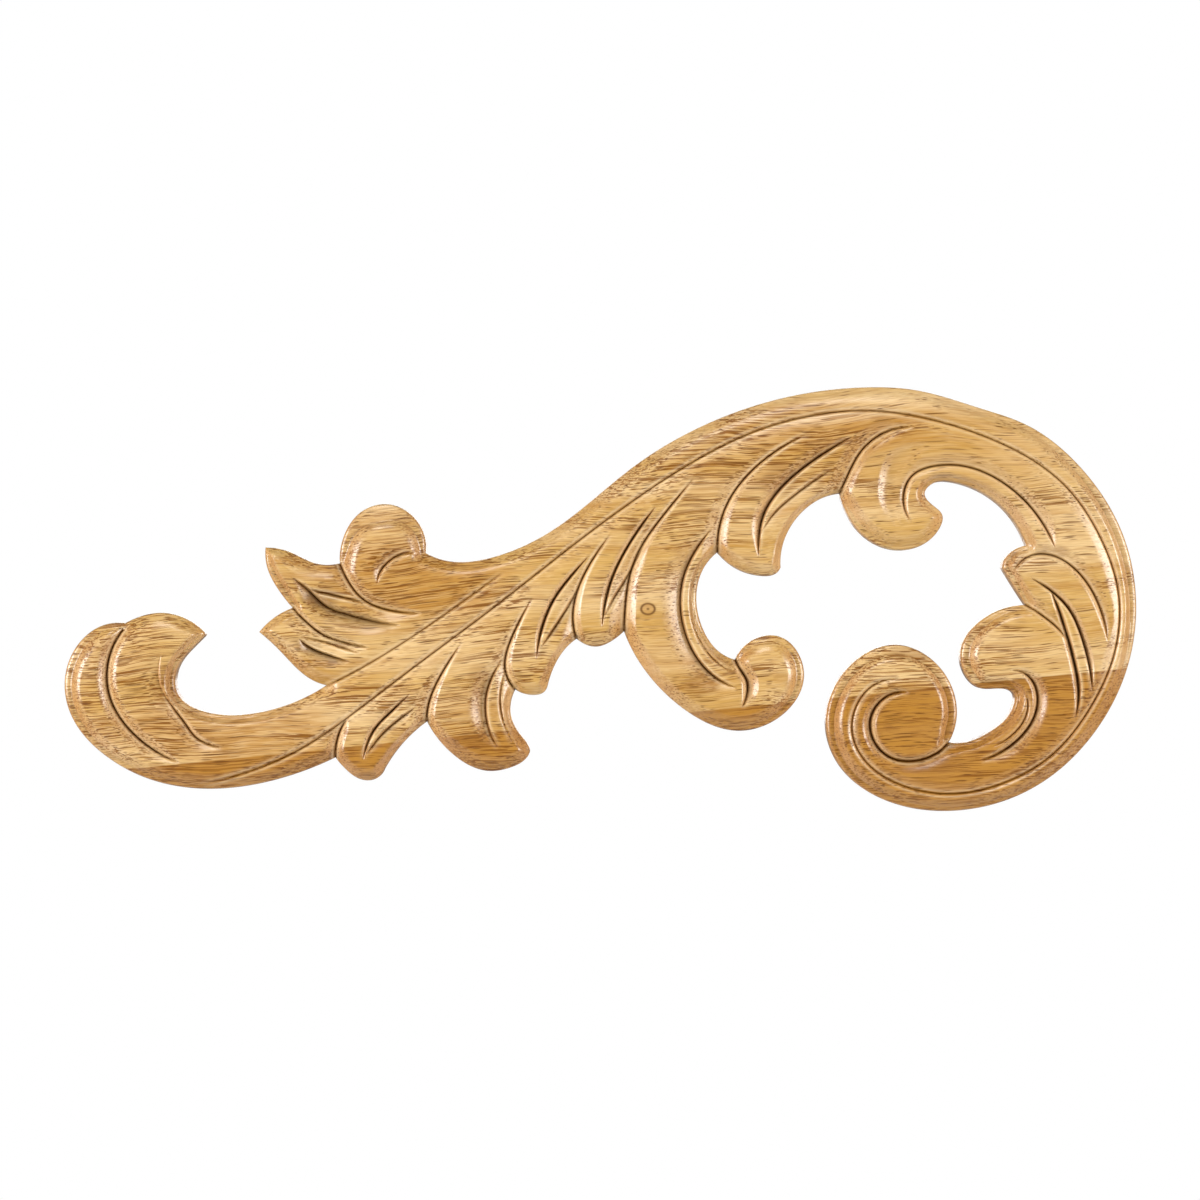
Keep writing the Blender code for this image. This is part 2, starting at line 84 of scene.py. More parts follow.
Run = namedtuple("Run", "knots lip shoulder bevel", defaults=(1.8, 1.3, 0))
OUTLINE = {
    "hook tip": Run(((203.6, 636.6), (205, 633.6)), 0.6, 2.0),
    "hook lip": Run(((203, 630.4), (185, 618), (158.4, 612.7), (140, 616.5)), 0.6, (2.4, 3.4, 3.6)),
    "hook": Run(
        ((125.3, 623), (101, 626), (78.1, 644.3), (64.6, 683), (72.5, 718), (105.3, 755.5),
         (151.5, 779.8), (209.4, 788.8), (279.6, 778.7)),
        (0.9, 1.8, 1.5, 1.1, 0.7, 0.6, 0.6), (3.2, 2.4, 2.4, 2.6, 3.0, 3.0, 2.6),
    ),
    "leaf 1 near": Run(
        ((335.4, 757.5), (345.9, 769.3), (357.4, 777.9), (367, 780.4), (377.5, 777.9)),
        0.5, (1.5, 1.7, 2.4), (1, 0.8, 0),
    ),
    "leaf 1 far": Run(((384.2, 769.3), (403.3, 742.5)), 0.7, 0.9, 0.6),
    "leaf 2": Run(
        ((427, 721.5), (451, 752.5), (488, 770.9), (512, 767), (524.5, 760), (529.8, 751), (525.5, 741),
         (517, 730), (510.5, 713)),
        (0.5, 0.5, 0.5, 0.5, 0.7, 0.7), (1.8, 2.4, 3.4, 2.8, 1.0, 0.9), (1, 1, 0, 0, 0.5, 0.6),
    ),
    "leaf 3 near": Run(((515.2, 689.5), (532.5, 695), (543.5, 692.5)), 0.5, (1.8, 2.8, 2.6), (1, 0, 0)),
    "leaf 3 far": Run(((547.5, 686), (554.8, 665), (566, 648)), 0.7, 0.9, 0.6),
    "leaf 4": Run(((576.6, 638.8), (599.9, 646.2), (612.5, 640.5)), 0.5, (1.8, 2.8, 2.2), (1, 0, 0.3)),
    "C curl": Run(
        ((624, 631.2), (632, 649.5), (647, 673), (683.5, 708.8), (739.4, 730.8), (789.4, 708.4),
         (804, 672), (779, 636.2), (750, 641.5)),
        (0.5, 0.5, 0.5, 0.6, 1.2, 1.8, 1.2, 0.8), (2.3, 2.3, 2.4, 3.0, 2.6, 2.2, 3.0, 2.6),
        (1, 1, 0.8, 0.3, 0, 0, 0, 0),
    ),
    "C curl inside": Run(
        ((735.1, 659.5), (718.8, 651.3), (701.5, 625.4), (696.4, 596), (703, 569.5)),
        1.0, 0.8, 0.5,
    ),
    "leaf 6 near": Run(
        ((717.3, 552.4), (737, 568.8), (760, 575.8), (776, 573.5)),
        0.5, (1.9, 2.6, 2.8), (0.8, 0.4, 0),
    ),
    "leaf 6 far": Run(
        ((780.6, 567.5), (782.9, 544.5), (796.9, 517.8), (821.2, 498.6)),
        0.6, 1.0, (0.8, 0.8, 0.2),
    ),
    "leaf 7": Run(
        ((839.4, 493.4), (846, 512), (858.5, 531), (894, 550), (937.3, 531.8), (942.4, 515.2),
         (929.7, 502.4), (924.6, 493.5), (932, 484), (950.1, 481.8), (995, 501)),
        (0.5, 1.3, 0.9, 0.7, 0.9, 0.7, 0.7, 0.7), (2.6, 2.4, 3.0, 2.6, 1.2, 1.2, 1.6, 1.6),
        (0.6, 0.4, 0, 0, 0.2, 0.2, 0, 0),
    ),
    "leaf 8 near": Run(((1026.5, 545.5), (1017, 548), (1009, 553.5), (1003.5, 561)), 1.0, 1.4),
    "leaf 8 far": Run(((1002.3, 568), (1013, 585.5)), (1.3, 0.8), 1.3, 0.3),
    "curl 9": Run(
        ((1025.7, 605), (982, 619.3), (960.3, 655), (979.5, 688), (1004.6, 689), (1013.3, 693),
         (1012.6, 708.2), (993, 729.5), (966, 742)),
        (0.8, 1.4, 1.8, 1.8, 1.2, 0.8, 0.8, 0.8), (2.4, 2.0, 2.2, 2.2, 1.6, 1.2, 1.2, 1.2),
    ),
    "big scroll": Run(
        ((948.8, 742.4), (956.9, 714.4), (942.4, 670.5), (896.5, 644.6), (849.5, 666), (826, 725.9),
         (842, 769), (885.8, 800.5), (947.6, 811), (1018, 795.5), (1058, 771), (1087.5, 741.5),
         (1126, 671.9), (1136.2, 607.6), (1120.7, 529), (1083, 470), (1024, 423.5), (979.4, 407.8),
         (915.7, 390), (864.6, 387.2), (799.5, 394.3), (715.3, 420), (632.5, 467.3), (555.2, 528.3),
         (496, 556.2), (450, 561.2)),
        (2.0, 2.0, 0.8, 0.8, 2.0, 0.8, 0.6, 0.6, 0.6), (1.8, 1.8, 2.6, 2.4, 1.4, 3.0, 3.4, 2.8, 2.4),
    ),
    "crest": Run(
        ((425.6, 552.8), (424.1, 534.6), (409.4, 513), (387.8, 504), (362.2, 511), (344.4, 534.6)),
        (1.4, 1.8, 3.0, 4.2, 3.2, 1.9, 1.6), (2.6, 3.0, 2.4, 1.8, 2.4, 3.2, 3.0),
    ),
    "upper point near": Run(((339.7, 563.2), (313.8, 562.7), (288.3, 551.2)), 0.5, (3.6, 3.6, 1.6)),
    "upper point far": Run(((265.5, 547.5), (268, 570), (278.6, 590)), (0.6, 1.5, 1.3), 1.2, 0.3),
    "lower point near": Run(((292.4, 607.7), (269.8, 621)), (0.6, 0.9, 0.6), 1.4, 0.3),
    "lower point far": Run(((259.2, 632), (280.8, 651.8), (310, 678.8)), 0.5, (1.6, 3.4, 3.0)),
    "stem top": Run(
        ((326.3, 685.3), (298.7, 700.2), (250, 713.8), (208.2, 712.4), (177.6, 693.3), (177.6, 667.8),
         (194.1, 646.1)),
        (0.6, 0.6, 0.9, 1.0, 1.0, 0.8), (2.6, 2.0, 1.4, 1.1, 1.1, 1.4), (0, 0, 0.2, 0.3, 0.3, 0),
    ),
}
print(f"{len(OUTLINE)} runs, {sum(len(run.knots) for run in OUTLINE.values())} knots")

# %% [markdown]
# ## The cuts
# Every line inside the outline was made by one stroke of a gouge. It has a depth, and the wood
# rises from it on either side over its own width: steeply where one leaf lies over the next, in a
# long slope or a hollow where the leaf under it sinks away. Left and right are as seen while going
# along the knots. Where a cut gets shallower it also gets narrower, as with a real gouge: at its
# start or its end, and a long one over its whole length. A soft cut is a hollow with no line in it.
# The two veins of the points are painted darker in the hollow beside them, part stains and part
# painted shade. Separate bodies for the leaves could be joined instead, but the real ornament is
# one piece, and one height for each point of the front gives the same soft meeting of the cuts.

# %% Ways for the wood to rise from a cut
RISES = {
    "round": lambda t: 1 - np.sin(0.5 * np.pi * t),
    "slope": lambda t: (1 - t) ** 1.3,
    "bevel": lambda t: 0.6 * (1 - t) + 0.4 * (1 - t) ** 2,
    "swale": lambda t: 0.5 + 0.5 * np.cos(np.pi * t),
    "cove": lambda t: np.cos(0.5 * np.pi * t),
}
SHARP = (0.6, "round")
ROUNDED = (1.5, "round")
FULL = (2.8, "round")
BEVEL = (1.9, "bevel")
BROAD_BEVEL = (2.6, "bevel")
SOFT = (2.6, "slope")
EASY = (2.9, "slope")
BROAD = (3.8, "slope")
LONG = (4.8, "slope")
SWALE = (4.8, "swale")
COVE = (3.0, "cove")

# %% The cuts
Cut = namedtuple("Cut", "depth left right fades knots")
CUTS = {
    "stem above": Cut(
        0.7, EASY, SOFT, "end",
        ((327, 686), (344.4, 677.5), (377.6, 659), (431, 624.5), (483.7, 587), (505, 571.5)),
    ),
    "scroll line": Cut(
        0.8, ROUNDED, SOFT, "start end",
        ((200, 784.5), (250, 771), (300, 749.3), (347.8, 717.7), (405.2, 674), (491.3, 609.5),
         (573.6, 545), (636, 499), (694, 461.6), (758.7, 430.4), (814.8, 415.6), (867, 411.4),
         (934.8, 421.5), (1001, 444.5), (1062, 484.6), (1098.5, 537), (1116.9, 593.6), (1112.4, 654.5),
         (1088.8, 707.3), (1048, 756.7), (1004.6, 781.6), (960.2, 792.8), (909.3, 787.7), (862.1, 757.8),
         (851, 728.4), (865.9, 690.2), (902.9, 678.7)),
    ),
    "eye of the scroll": Cut(
        2.0, ROUNDED, FULL, "start",
        ((909.3, 692.1), (883.8, 697.8), (870.4, 716.9), (873.6, 741.2), (892.7, 758.4), (915.7, 760.3),
         (948.8, 742.4)),
    ),
    "hook outer": Cut(
        2.0, FULL, FULL, "end",
        ((123.5, 630), (109.3, 661.4), (110.6, 695.9), (129.1, 727.8), (159.7, 752.6), (182.4, 762.6)),
    ),
    "hook hollow": Cut(
        0.7, SHARP, SWALE, "start end soft",
        ((164, 652), (160, 667), (161, 683), (168, 698), (180, 715)),
    ),
    "hook inner": Cut(
        1.3, ROUNDED, EASY, "start end",
        ((166, 692), (171, 702), (180, 715), (187.6, 725), (195.2, 735.2), (210.5, 744.1), (225.8, 748)),
    ),
    "crest foot": Cut(
        1.7, FULL, EASY, "end",
        ((339.7, 563.2), (346.9, 578), (358, 594), (369, 602.8), (392, 610.7), (423, 613.5)),
    ),
    "crest eye": Cut(
        1.3, ROUNDED, EASY, "start end",
        ((416, 554), (400.5, 555), (388, 563), (379.8, 574.6), (378.2, 584)),
    ),
    # This vein and the lower point's vein are painted darker beside them: painted shade over stains.
    "upper point vein": Cut(
        2.3, ROUNDED, BROAD, "start end stained",
        ((293.4, 577.7), (311.8, 592.9), (325.9, 605.9), (347.6, 614.6), (374.7, 621.6), (401.8, 625.4)),
    ),
    "upper point second vein": Cut(
        1.1, BROAD, SHARP, "start end",
        ((304, 588), (311.8, 590.5), (325.9, 593.5), (342.2, 597.2), (358.4, 601), (372, 604.5)),
    ),
    "points parting": Cut(
        1.5, ROUNDED, BROAD, "end",
        ((293, 608), (307.5, 622.2), (328, 636.8), (342.2, 641.7), (371.4, 648.2)),
    ),
    "lower point upper vein": Cut(
        1.0, EASY, SHARP, "start end",
        ((300, 637), (315, 639.5), (331.3, 643.8), (347.6, 649.3), (362, 653.5)),
    ),
    # Painted darker beside it: painted shade over stains.
    "lower point vein": Cut(
        1.7, SHARP, BROAD, "start end stained",
        ((300, 637.5), (307.5, 645), (328, 654.7), (352, 661.7)),
    ),
    "leaf 1 edge": Cut(
        1.6, BEVEL, SOFT, "start",
        ((351, 716), (343, 726), (337.6, 740.6), (335.4, 757.5)),
    ),
    "leaf 1 vein": Cut(
        1.5, SHARP, ROUNDED, "start end",
        ((411, 693.5), (389.3, 714), (375.3, 729.3), (367.6, 745.9), (364, 760)),
    ),
    "leaf 1 second vein": Cut(
        1.0, EASY, SHARP, "start end",
        ((419, 705), (402, 717), (386.7, 729.6), (374, 744), (366.5, 755)),
    ),
    "leaf 2 edge": Cut(
        1.6, BEVEL, BROAD, "start long",
        ((463, 642), (443.4, 671.4), (428.7, 705.9), (427, 721.5)),
    ),
    "leaf 2 hollow": Cut(
        1.5, SHARP, SWALE, "start end",
        ((505, 655), (493.5, 675), (487.4, 691.8), (486.3, 714.8), (493.1, 737.8), (500, 748)),
    ),
    "leaf 2 bead": Cut(
        0.5, SHARP, SHARP, "start end",
        ((509, 664), (502, 684), (501.5, 712), (507, 730), (514.5, 745)),
    ),
    "leaf 3 edge": Cut(
        1.6, BEVEL, BROAD, "start long",
        ((533.5, 597), (513.5, 634.4), (505.3, 668), (515.2, 689.5)),
    ),
    "leaf 3 vein": Cut(
        1.6, SHARP, ROUNDED, "start end",
        ((590, 555), (570, 578), (554, 600), (544.8, 620.7), (540.2, 636.7), (537, 660)),
    ),
    "leaf 3 second vein": Cut(
        1.0, EASY, SHARP, "start end",
        ((582, 579), (569.5, 604), (559.7, 619.5), (550.5, 633.3), (540, 649)),
    ),
    "leaf 4 edge": Cut(
        1.6, BEVEL, BROAD, "start long",
        ((612.5, 532.5), (591, 562.6), (575, 600), (573.4, 624.5), (576.6, 638.8)),
    ),
    "leaf 4 vein": Cut(
        1.6, SHARP, ROUNDED, "start end",
        ((655.7, 507), (636, 534), (620.5, 560), (611, 582), (605.5, 603), (602, 628)),
    ),
    "leaf 4 second vein": Cut(
        1.0, EASY, SHARP, "start end",
        ((648, 537), (635.5, 561), (625, 580), (612.5, 600), (604, 618)),
    ),
    "C curl edge": Cut(
        2.0, BROAD_BEVEL, BROAD, "start long",
        ((695.3, 477), (662.5, 516.5), (633.7, 562.6), (625.3, 606), (624, 631.2)),
    ),
    "C curl hollow": Cut(
        1.6, SHARP, LONG, "start end",
        ((713, 527), (698, 547), (684.8, 573), (680.3, 599), (686.8, 638), (705, 668), (737, 688)),
    ),
    "C curl bead": Cut(
        0.5, SHARP, SHARP, "start end",
        ((706, 552), (693, 580), (690.5, 604), (696.5, 634), (712, 658), (734, 673)),
    ),
    "ball edge": Cut(
        2.1, BROAD_BEVEL, ROUNDED, "end",
        ((735.1, 659.5), (740.8, 671), (746.5, 681.2), (747.1, 690), (741, 707)),
    ),
    "leaf 6 edge": Cut(
        1.7, FULL, BROAD, "start long",
        ((809.7, 433.6), (764, 460), (727.5, 503), (717.3, 552.4)),
    ),
    "leaf 6 vein": Cut(
        1.8, SHARP, FULL, "start end",
        ((851.8, 437.4), (812.2, 461.6), (776, 494), (762, 519), (758.5, 540), (758, 558)),
    ),
    "leaf 6 second vein": Cut(
        0.8, EASY, SHARP, "start end",
        ((834, 469), (815, 480), (793, 496), (773, 514), (760.5, 534)),
    ),
    "leaf 7 edge": Cut(
        1.9, FULL, BROAD, "start",
        ((914.4, 428), (884, 433), (861, 451), (848, 474), (839.4, 493.4)),
    ),
    "leaf 7 groove": Cut(
        1.5, ROUNDED, EASY, "start end",
        ((1054, 551), (1044, 528), (1030, 508), (1002, 483), (963, 466.5), (932.2, 466.7), (911.8, 475.7),
         (902.8, 497), (905, 513), (911, 523)),
    ),
    "leaf 7 hollow": Cut(
        1.1, SWALE, COVE, "start end soft",
        ((930, 446), (907, 454), (895, 466), (890, 482), (889, 498), (892, 513), (899, 528)),
    ),
    "leaf 8 edge": Cut(
        1.3, EASY, ROUNDED, "start end",
        ((1011, 577), (1016, 566), (1031.4, 555.3), (1052, 556), (1072.2, 568.1), (1092, 594),
         (1102, 620), (1105.4, 642)),
    ),
    "leaf 8 vein": Cut(
        1.7, ROUNDED, SHARP, "start end",
        ((1028, 578), (1048, 590), (1067.1, 609), (1080, 637), (1087, 663), (1090, 692)),
    ),
    "leaf 8 second vein": Cut(
        1.8, SHARP, ROUNDED, "start end",
        ((1046.7, 587), (1056, 606), (1064.6, 631), (1073, 662), (1077.3, 690), (1072.5, 719)),
    ),
    "leaf 9 parting": Cut(
        1.3, EASY, ROUNDED, "end",
        ((1025.7, 605), (1042.9, 617), (1056, 628), (1066, 641)),
    ),
    "curl 9 hollow": Cut(
        1.8, FULL, ROUNDED, "start end",
        ((1008, 670.5), (1021, 672), (1032, 682), (1036.5, 700), (1032, 719), (1020, 736), (1000.8, 751),
         (978, 760)),
    ),
    "curl 9 bead": Cut(
        0.5, SHARP, SHARP, "start end",
        ((1018, 686), (1026, 700), (1023, 719), (1010, 735), (990, 747)),
    ),
}
print(f"{len(CUTS)} cuts, the deepest {max(cut.depth for cut in CUTS.values())} mm")

# %% [markdown]
# ## Curves and distances
# A cubic spline passes through its knots with an even bend, as a thin wooden batten does on a
# drawing board. Everything about the relief then depends on one question: how far a point of the
# front is from a line, and on which side of it. A tree of points finds the nearest corner of the
# line fast, and the two bits of line that meet there give the exact distance. In the fan beyond a
# sharp corner both bits are equally near, and the one that the point faces more squarely tells the
# side.

# %% Smooth curves
def to_front(knots):
    """Drawing units to millimetres on the front, x and z from the middle of the back."""
    return (np.array(knots, float) - SHEET_MIDDLE) * (SCALE, -SCALE)


def smooth_curve(knots, step):
    """Points about a step apart on the cubic spline through the knots."""
    if len(knots) == 2:
        knots = np.insert(knots, 1, knots.mean(axis=0), axis=0)
    spans = np.hypot(*np.diff(knots, axis=0).T)
    slopes = np.diff(knots, axis=0) / spans[:, None]
    count = len(knots)
    system, target = np.zeros((count, count)), np.zeros((count, 2))
    system[0, :2] = 1, -1
    system[-1, -2:] = 1, -1
    for i in range(1, count - 1):
        system[i, i - 1 : i + 2] = spans[i - 1], 2 * (spans[i - 1] + spans[i]), spans[i]
        target[i] = 6 * (slopes[i] - slopes[i - 1])
    bend = np.linalg.solve(system, target)
    points = []
    for i, span in enumerate(spans):
        pieces = max(1, round(span / step))
        u = (np.arange(pieces) / pieces * span)[:, None]
        v = span - u
        points.append(
            (bend[i] * v**3 + bend[i + 1] * u**3) / (6 * span)
            + (knots[i] / span - bend[i] * span / 6) * v
            + (knots[i + 1] / span - bend[i + 1] * span / 6) * u
        )
    return np.vstack(points + [knots[-1:]])


# %% The nearest place on a line
TIE = 1e-9


def nearest(points, line):
    """For each point: distance to the line, place along it in segments, side (1 left, -1 right)."""
    tree = KDTree(len(line))
    for i, (x, z) in enumerate(line):
        tree.insert((x, z, 0), i)
    tree.balance()
    index = np.array([tree.find((x, z, 0))[1] for x, z in points], int)
    best, place, side = np.full(len(points), np.inf), np.zeros(len(points)), np.ones(len(points))
    square = np.zeros(len(points))
    for first in (np.clip(index - 1, 0, len(line) - 2), np.clip(index, 0, len(line) - 2)):
        corner = line[first]
        run = line[first + 1] - corner
        away = points - corner
        part = np.clip((away * run).sum(axis=1) / (run * run).sum(axis=1), 0, 1)
        distance = np.hypot(*(away - part[:, None] * run).T)
        turn = (run[:, 0] * away[:, 1] - run[:, 1] * away[:, 0]) / np.hypot(*run.T)
        closer = (distance < best - TIE) | ((distance < best + TIE) & (np.abs(turn) > square))
        best[closer] = distance[closer]
        place[closer] = (first + part)[closer]
        square[closer] = np.abs(turn)[closer]
        side[closer] = np.where(turn[closer] < 0, -1, 1)
    return best, place, side


def normals(line, closed):
    """Unit normals to the left of each point of a line."""
    if closed:
        ahead, behind = np.roll(line, -1, axis=0), np.roll(line, 1, axis=0)
    else:
        ahead, behind = np.vstack([line[1:], line[-1:]]), np.vstack([line[:1], line[:-1]])
    along = (ahead - behind) / np.hypot(*(ahead - behind).T)[:, None]
    return np.column_stack([-along[:, 1], along[:, 0]])


# %% The outline at full fineness
EDGE_STEP = 0.45
WIDTH_BLEND = 2.5


def outline_points(step):
    """The closed outline, with lip, shoulder and bevel at each point, blended past the corners."""
    runs = list(OUTLINE.values())
    points, widths = [], []
    for run, after in zip(runs, runs[1:] + runs[:1]):
        curve = smooth_curve(to_front(run.knots + after.knots[:1]), step)[:-1]
        along = np.linspace(0, 1, len(curve))
        points.extend(curve)
        rows = [np.atleast_1d(value) for value in run[1:]]
        widths.extend(zip(*(np.interp(along, np.linspace(0, 1, len(row)), row) for row in rows)))
    reach = round(WIDTH_BLEND / step)
    blended = sum(np.roll(widths, i, axis=0) for i in range(-reach, reach + 1)) / (2 * reach + 1)
    return np.array(points), blended


OUTER, WIDTHS = outline_points(EDGE_STEP)
CLOSED = np.vstack([OUTER[-2:], OUTER, OUTER[:2]])
around = np.hypot(*(OUTER - np.roll(OUTER, 1, axis=0)).T).sum()
print(f"the outline is {around:.0f} mm long, in {len(OUTER)} steps")

# %% [markdown]
# ## The height of the front
# The leaves have one common top, a little crowned. The edge and each cut say how far the wood lies
# below it, and the falls add up as the sides of a right angle do. A plain sum would dig holes where
# two cuts meet, and the larger of the two alone would leave a hard line there.

# %% Heights of the edge
CROWN = 0.7
CROWN_REACH = 9.0
WALL = 4.7
LIP_HEIGHT = 5.7
LIP_ROUND = 0.8
DEEPEST = 2.8
LEDGE_SLOPE = 0.22
CREASE_DEPTH = 0.06
CREASE_WIDTH = 0.3
CREASED_LIP = 0.8
TOP = THICKNESS - CROWN


def edge_fall(distance, lip, shoulder, bevel):
    """How far the wood lies below the leaves' top at a distance in from the outline."""
    t = np.clip(distance / LIP_ROUND, 0, 1)
    ledge = LIP_HEIGHT + LEDGE_SLOPE * np.clip(np.minimum(distance, lip) - LIP_ROUND, 0, None)
    rounded = WALL + (ledge - WALL) * np.sqrt(1 - (1 - t) ** 2)
    t = np.clip((distance - lip) / shoulder, 0, 1)
    climb = (1 - bevel) * RISES["round"](t) + bevel * RISES["bevel"](t)
    crease = CREASE_DEPTH * np.clip(lip - CREASED_LIP, 0, 1)
    crease *= np.exp(-(((distance - lip) / CREASE_WIDTH) ** 2))
    return np.where(distance < lip, TOP - rounded, (TOP - rounded) * climb) + crease


# %% Heights of the cuts
FADE = 0.4
LONGEST_FADE = 9.0
NARROWEST = 0.3
# Painted shade over stains: the wood is painted darker by how far a cut falls, more so beside the two
# veins of the points, and along the crease of the lip.
GLAZE_AND_SHADE, VEIN_STAIN_AND_SHADE, GLAZE_AND_SHADE_DEPTH = 0.1, 0.5, 1.6
LIP_CREASE_SHADE = 0.25
LINE_FORCE, STAIN_AND_SHADE_FORCE = (0.3, 0.6), (0.25, 0.45)
LINE_STEP = 0.2
LINE_DEPTH = 0.36
LINE_WIDTH = 0.32
STAIN_AND_SHADE_WIDTH = 0.2
# A pale line painted along each brink of a cut: painted highlight.
BRINK, BRINK_WIDTH = 0.62, 0.24
LINES = {name: smooth_curve(to_front(cut.knots), LINE_STEP) for name, cut in CUTS.items()}


def force(cut, least, more):
    """How strongly a cut shows, from 0 to 1, by its depth."""
    return min(1, least + more * cut.depth)


def cut_fall(points, cut, line):
    """How far a cut goes below the top, how deep its fine line is, and its painted darkening, part stains
    and part shade, and its painted highlight, each from 0 to 1.
    """
    fall, fine, stain_and_shade, painted_highlight = np.zeros((4, len(points)))
    widest = max(cut.left[0], cut.right[0])
    close = np.all((points > line.min(axis=0) - widest) & (points < line.max(axis=0) + widest), axis=1)
    if not close.any():
        return fall, fine, stain_and_shade, painted_highlight
    distance, place, side = nearest(points[close], line)
    last = len(line) - 1
    fade = min(FADE, LONGEST_FADE / (last * LINE_STEP))
    crisp, depth = np.ones((2, len(place)))
    for word, part in (("start", place / last), ("end", 1 - place / last)):
        if word in cut.fades:
            crisp *= np.sin(0.5 * np.pi * np.clip(part / fade, 0, 1))
            depth *= np.sin(0.5 * np.pi * np.clip(part / (1 if "long" in cut.fades else fade), 0, 1))
    here = np.zeros(len(place))
    for (width, rise), which in ((cut.left, 1), (cut.right, -1)):
        reach = width * np.maximum(depth, NARROWEST)
        chosen = (side == which) & (distance < reach)
        here[chosen] = (cut.depth * depth)[chosen] * RISES[rise]((distance / reach)[chosen])
    fall[close] = here
    if "soft" not in cut.fades:
        profile = np.clip(1 - distance / LINE_WIDTH, 0, 1)
        fine[close] = LINE_DEPTH * force(cut, *LINE_FORCE) * crisp * profile
        strong = force(cut, *STAIN_AND_SHADE_FORCE) * crisp
        # The bottom of each line is painted dark, part stains and part painted shade.
        stain_and_shade[close] = strong * np.exp(-((distance / STAIN_AND_SHADE_WIDTH) ** 2))
        # A pale line painted along each brink: painted highlight.
        painted_highlight[close] = strong * np.exp(-(((distance - BRINK) / BRINK_WIDTH) ** 2))
    return fall, fine, stain_and_shade, painted_highlight


def front(points):
    """Height of the carved front above the back in millimetres, with its painted darkening, part stains
    and part shade, and its painted highlights there.
    """
    distance, place, _ = nearest(points, CLOSED)
    lip, shoulder, bevel = WIDTHS[np.round(place - 2).astype(int) % len(OUTER)].T
    swell = np.clip((distance - lip) / CROWN_REACH, 0, 1)
    squares, finest, brink_highlight = np.zeros((3, len(points)))
    # A dark line painted along the crease of the lip: painted shade.
    stain_and_shade = LIP_CREASE_SHADE * np.clip(lip - CREASED_LIP, 0, 1)
    stain_and_shade *= np.exp(-(((distance - lip) / STAIN_AND_SHADE_WIDTH) ** 2))
    for name, cut in CUTS.items():
        fall, fine, near, painted_highlight = cut_fall(points, cut, LINES[name])
        squares += fall**2
        finest = np.maximum(finest, fine)
        brink_highlight = np.maximum(brink_highlight, painted_highlight)
        # Each cut paints the wood darker by how far it falls, stains and painted shade, more so beside
        # the two veins of the points.
        share = VEIN_STAIN_AND_SHADE if "stained" in cut.fades else GLAZE_AND_SHADE
        stain_and_shade = np.maximum(stain_and_shade, np.maximum(near, share * np.clip(fall / GLAZE_AND_SHADE_DEPTH, 0, 1)))
    squares += edge_fall(distance, lip, shoulder, bevel) ** 2
    height = TOP + CROWN * swell * (2 - swell) - np.sqrt(squares) - finest
    return np.maximum(height, DEEPEST), stain_and_shade, brink_highlight * (1 - stain_and_shade)


# %% [markdown]
# ## The net of triangles
# The carving is pressed, so every cut has crisp lines, and a plain grid would show them as saw
# teeth. Instead the points of the mesh lie along the lines themselves, close together beside the
# cuts and the edge and further apart on the open leaf, and a Delaunay triangulation joins them.
# Displacing a subdivided plane is quicker to set up, but it takes ten times the triangles.

# %% How far apart the points are
CELL = 0.6
RING_OFFSETS = (0.16, 0.38, 0.8)
CUT_OFFSETS = (0.0, 0.16, 0.32, 0.55, 0.9, 1.3)
LEDGE_OFFSET, BRINK_OFFSET = 0.3, 0.25
SHOULDER_SHARES = (0.25, 0.5, 0.8, 1.0)
NEAR_LINES = 0.14
NEAR_BOTTOM = 0.25
NEAR_BEVEL = NEAR_LINES + 0.05
NEAR_FIELD = 0.4
CUT_INSET, FIELD_INSET = 0.1, 0.3
FIELD_STEP = 0.62
RING_KEPT = 0.95


# %% The net and what is inside the outline
class Net:
    """The points of the front, none of them too near another."""

    def __init__(self):
        self.points = []
        self.cells = {}

    def add(self, points, apart):
        """Adds each point that has no other within the distance."""
        for x, z in points:
            i, j = int(x // CELL), int(z // CELL)
            cells = [(a, b) for a in (i - 1, i, i + 1) for b in (j - 1, j, j + 1)]
            near = (point for cell in cells for point in self.cells.get(cell, ()))
            if all((x - u) ** 2 + (z - w) ** 2 > apart * apart for u, w in near):
                self.points.append((x, z))
                self.cells.setdefault((i, j), []).append((x, z))


def inside(points, distance):
    """The points that are within the outline and at least the distance from it."""
    gap, _, side = nearest(points, CLOSED)
    return points[(gap > distance) & (side > 0)]


# %% Points along the edge
net = Net()
net.add(OUTER, 0)
inward = normals(OUTER, True)
lip, shoulder, _ = WIDTHS.T
rings = [np.full(len(lip), offset) for offset in RING_OFFSETS]
rings += [lip - LEDGE_OFFSET, lip, lip + BRINK_OFFSET]
rings += [lip + share * shoulder for share in SHOULDER_SHARES]
for offset in rings:
    ring = OUTER + inward * offset[:, None]
    gap, _, side = nearest(ring, CLOSED)
    net.add(ring[(gap > RING_KEPT * offset) & (side > 0)], NEAR_LINES)
print(f"{len(net.points)} points along the edge")

# %% Points along the cuts
for offset in CUT_OFFSETS:
    for line in LINES.values():
        spaced = line[::2]
        left = normals(spaced, False)
        for way in (1, -1):
            apart = NEAR_LINES if offset else NEAR_BOTTOM
            net.add(inside(spaced + way * offset * left, CUT_INSET), apart)
for name, cut in CUTS.items():
    spaced = LINES[name][::2]
    left = normals(spaced, False)
    beveled = [(width, way) for (width, rise), way in ((cut.left, 1), (cut.right, -1)) if rise == "bevel"]
    for width, way in beveled:
        for offset in (width - BRINK_OFFSET, width, width + BRINK_OFFSET):
            net.add(inside(spaced + way * offset * left, FIELD_INSET), NEAR_BEVEL)
print(f"{len(net.points)} points with the cuts")

